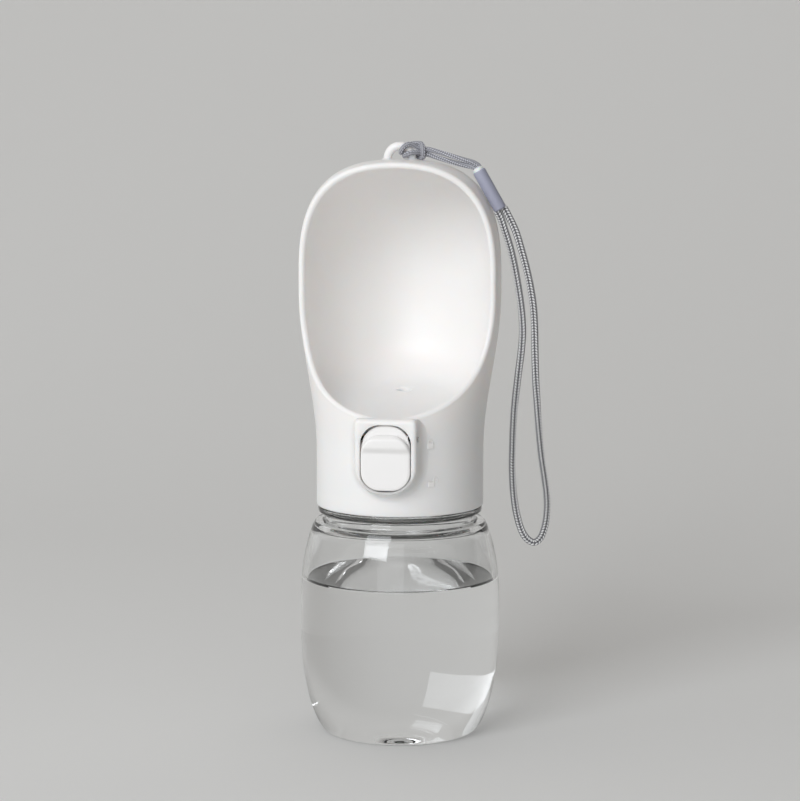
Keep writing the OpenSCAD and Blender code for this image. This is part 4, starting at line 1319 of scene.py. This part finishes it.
class DOGBOTTLE_OT_stage(Maker):
    """Paper backdrop, soft studio light and the camera"""
    bl_idname = "dog_bottle.stage"
    bl_label = "Stage"

    def execute(self, context):
        sizes = self.settings.stage
        # floor that curves up into the backdrop
        points = [(0, -2.2, 0), (0, 0.35, 0)]
        points += [(0, 0.35 + 1.4 * math.sin(a), 1.4 - 1.4 * math.cos(a))
                   for a in np.radians(np.linspace(3, 90, 30))]
        points.append((0, 1.75, 3.0))
        obj = draw_line(points)
        edit_all(obj)
        bpy.ops.transform.translate(value=(-2.5, 0, 0))
        bpy.ops.mesh.extrude_region_move(TRANSFORM_OT_translate={"value": (5, 0, 0)})
        bpy.ops.mesh.select_all(action="SELECT")
        bpy.ops.mesh.normals_make_consistent(inside=True)
        close_edit()
        settle(obj, "backdrop", 60)
        look = Finish("paper backdrop", Roughness=0.9, Specular_IOR_Level=0.1)
        where = look.place()
        cloud = look.noise(where, 1.6, 2)
        tone = tuple(sizes.floor)
        look.set(look.shader, "Base Color",
                 look.mix(cloud, tuple(c * 0.985 for c in tone), tone))
        look.bump(look.noise(where, 900, 2), 0.03, 0.0001)
        obj.data.materials.append(look.material)
        self.lamp("key lamp", (-0.72, -1.70, 1.15), 1.1, 20, (0.94, 0.97, 1.0))
        front = self.lamp("front lamp", (-0.1, -2.1, 0.6), 1.2, 6, (0.98, 0.99, 1.0))
        front.visible_transmission = False  # or it shows as a square in the water
        self.lamp("back card", (-0.95, 0.62, 0.35), 0.62, 0.24, (0.92, 0.96, 1.0), "DISK")
        self.room(context.scene)
        context.scene.view_settings.view_transform = "Standard"
        self.camera(context, sizes)
        return {"FINISHED"}

    @staticmethod
    def room(scene):
        """A room that is bright on the left, above and in front, and dim on the right."""
        world = bpy.data.worlds.new("studio")
        world.use_nodes = True
        tree = world.node_tree
        background = tree.nodes["Background"]
        coords = tree.nodes.new("ShaderNodeTexCoord")
        toward = tree.nodes.new("ShaderNodeVectorMath")
        toward.operation = "DOT_PRODUCT"
        toward.inputs[1].default_value = (-0.80, -0.45, 0.40)
        amount = tree.nodes.new("ShaderNodeMapRange")
        for socket, value in (("From Min", -0.6), ("From Max", 1.0),
                              ("To Min", 0.03), ("To Max", 0.68)):
            amount.inputs[socket].default_value = value
        background.inputs["Color"].default_value = (1, 0.975, 0.95, 1)
        tree.links.new(coords.outputs["Generated"], toward.inputs[0])
        tree.links.new(toward.outputs["Value"], amount.inputs["Value"])
        tree.links.new(amount.outputs[0], background.inputs["Strength"])
        scene.world = world

    @staticmethod
    def lamp(name, place, size, power, tone, shape="SQUARE"):
        """A soft lamp that shines on the bottle's middle."""
        deselect_all()
        bpy.ops.object.light_add(type="AREA", location=place)
        lamp = bpy.context.object
        lamp.name = name
        lamp.data.shape = shape
        lamp.data.size = size
        lamp.data.energy = power
        lamp.data.color = tone
        lamp.rotation_euler = (Vector((0, 0, 0.12)) - Vector(place)).to_track_quat(
            "-Z", "Y").to_euler()
        return lamp

    @staticmethod
    def camera(context, sizes):
        """The camera stands a little to the right of the front and looks slightly down."""
        away = sizes.distance
        place = Vector((away * math.sin(TURN), -away * math.cos(TURN), 0.230))
        down = math.radians(7.31)
        ahead = Vector((-math.sin(TURN) * math.cos(down), math.cos(TURN) * math.cos(down),
                        -math.sin(down)))
        deselect_all()
        bpy.ops.object.camera_add(location=place,
                                  rotation=ahead.to_track_quat("-Z", "Y").to_euler())
        camera = bpy.context.object
        camera.data.lens = sizes.lens
        camera.data.sensor_width = 36
        camera.data.clip_start = 0.01
        context.scene.camera = camera


# ---------------------------------------------------------------- sidebar, register and main

class DOGBOTTLE_PG_all(bpy.types.PropertyGroup):
    """All settings of the dog bottle"""
    bottle: bpy.props.PointerProperty(type=DOGBOTTLE_PG_bottle, name="Bottle")
    head: bpy.props.PointerProperty(type=DOGBOTTLE_PG_head, name="Head")
    button: bpy.props.PointerProperty(type=DOGBOTTLE_PG_button, name="Button")
    lanyard: bpy.props.PointerProperty(type=DOGBOTTLE_PG_lanyard, name="Lanyard")
    stage: bpy.props.PointerProperty(type=DOGBOTTLE_PG_stage, name="Stage")


STEPS = (DOGBOTTLE_OT_stage, DOGBOTTLE_OT_hitch_cord, DOGBOTTLE_OT_sleeve, DOGBOTTLE_OT_strap,
         DOGBOTTLE_OT_head, DOGBOTTLE_OT_eye, DOGBOTTLE_OT_housing, DOGBOTTLE_OT_lock_marks,
         DOGBOTTLE_OT_button, DOGBOTTLE_OT_rocker, DOGBOTTLE_OT_bottle, DOGBOTTLE_OT_water,
         DOGBOTTLE_OT_inner_parts)


class DOGBOTTLE_PT_panel(bpy.types.Panel):
    """Lists the pieces of the dog bottle"""
    bl_idname = "DOGBOTTLE_PT_panel"
    bl_label = "Dog bottle"
    bl_space_type = "VIEW_3D"
    bl_region_type = "UI"
    bl_category = "Dog bottle"

    def draw(self, context):
        settings = context.scene.dog_bottle
        for group in ("bottle", "head", "button", "lanyard", "stage"):
            box = self.layout.box()
            box.label(text=group.title())
            part = getattr(settings, group)
            for key in part.__annotations__:
                box.prop(part, key)
        for step in STEPS:
            self.layout.operator(step.bl_idname)


CLASSES = (DOGBOTTLE_PG_bottle, DOGBOTTLE_PG_head, DOGBOTTLE_PG_button, DOGBOTTLE_PG_lanyard,
           DOGBOTTLE_PG_stage, DOGBOTTLE_PG_all, *STEPS, DOGBOTTLE_PT_panel)


def register():
    for kind in CLASSES:
        bpy.utils.register_class(kind)
    bpy.types.Scene.dog_bottle = bpy.props.PointerProperty(type=DOGBOTTLE_PG_all)


def unregister():
    del bpy.types.Scene.dog_bottle
    for kind in reversed(CLASSES):
        bpy.utils.unregister_class(kind)


def main():
    register()
    for step in STEPS:
        group, name = step.bl_idname.split(".")
        getattr(getattr(bpy.ops, group), name)()
    deselect_all()


if __name__ == "__main__":
    main()
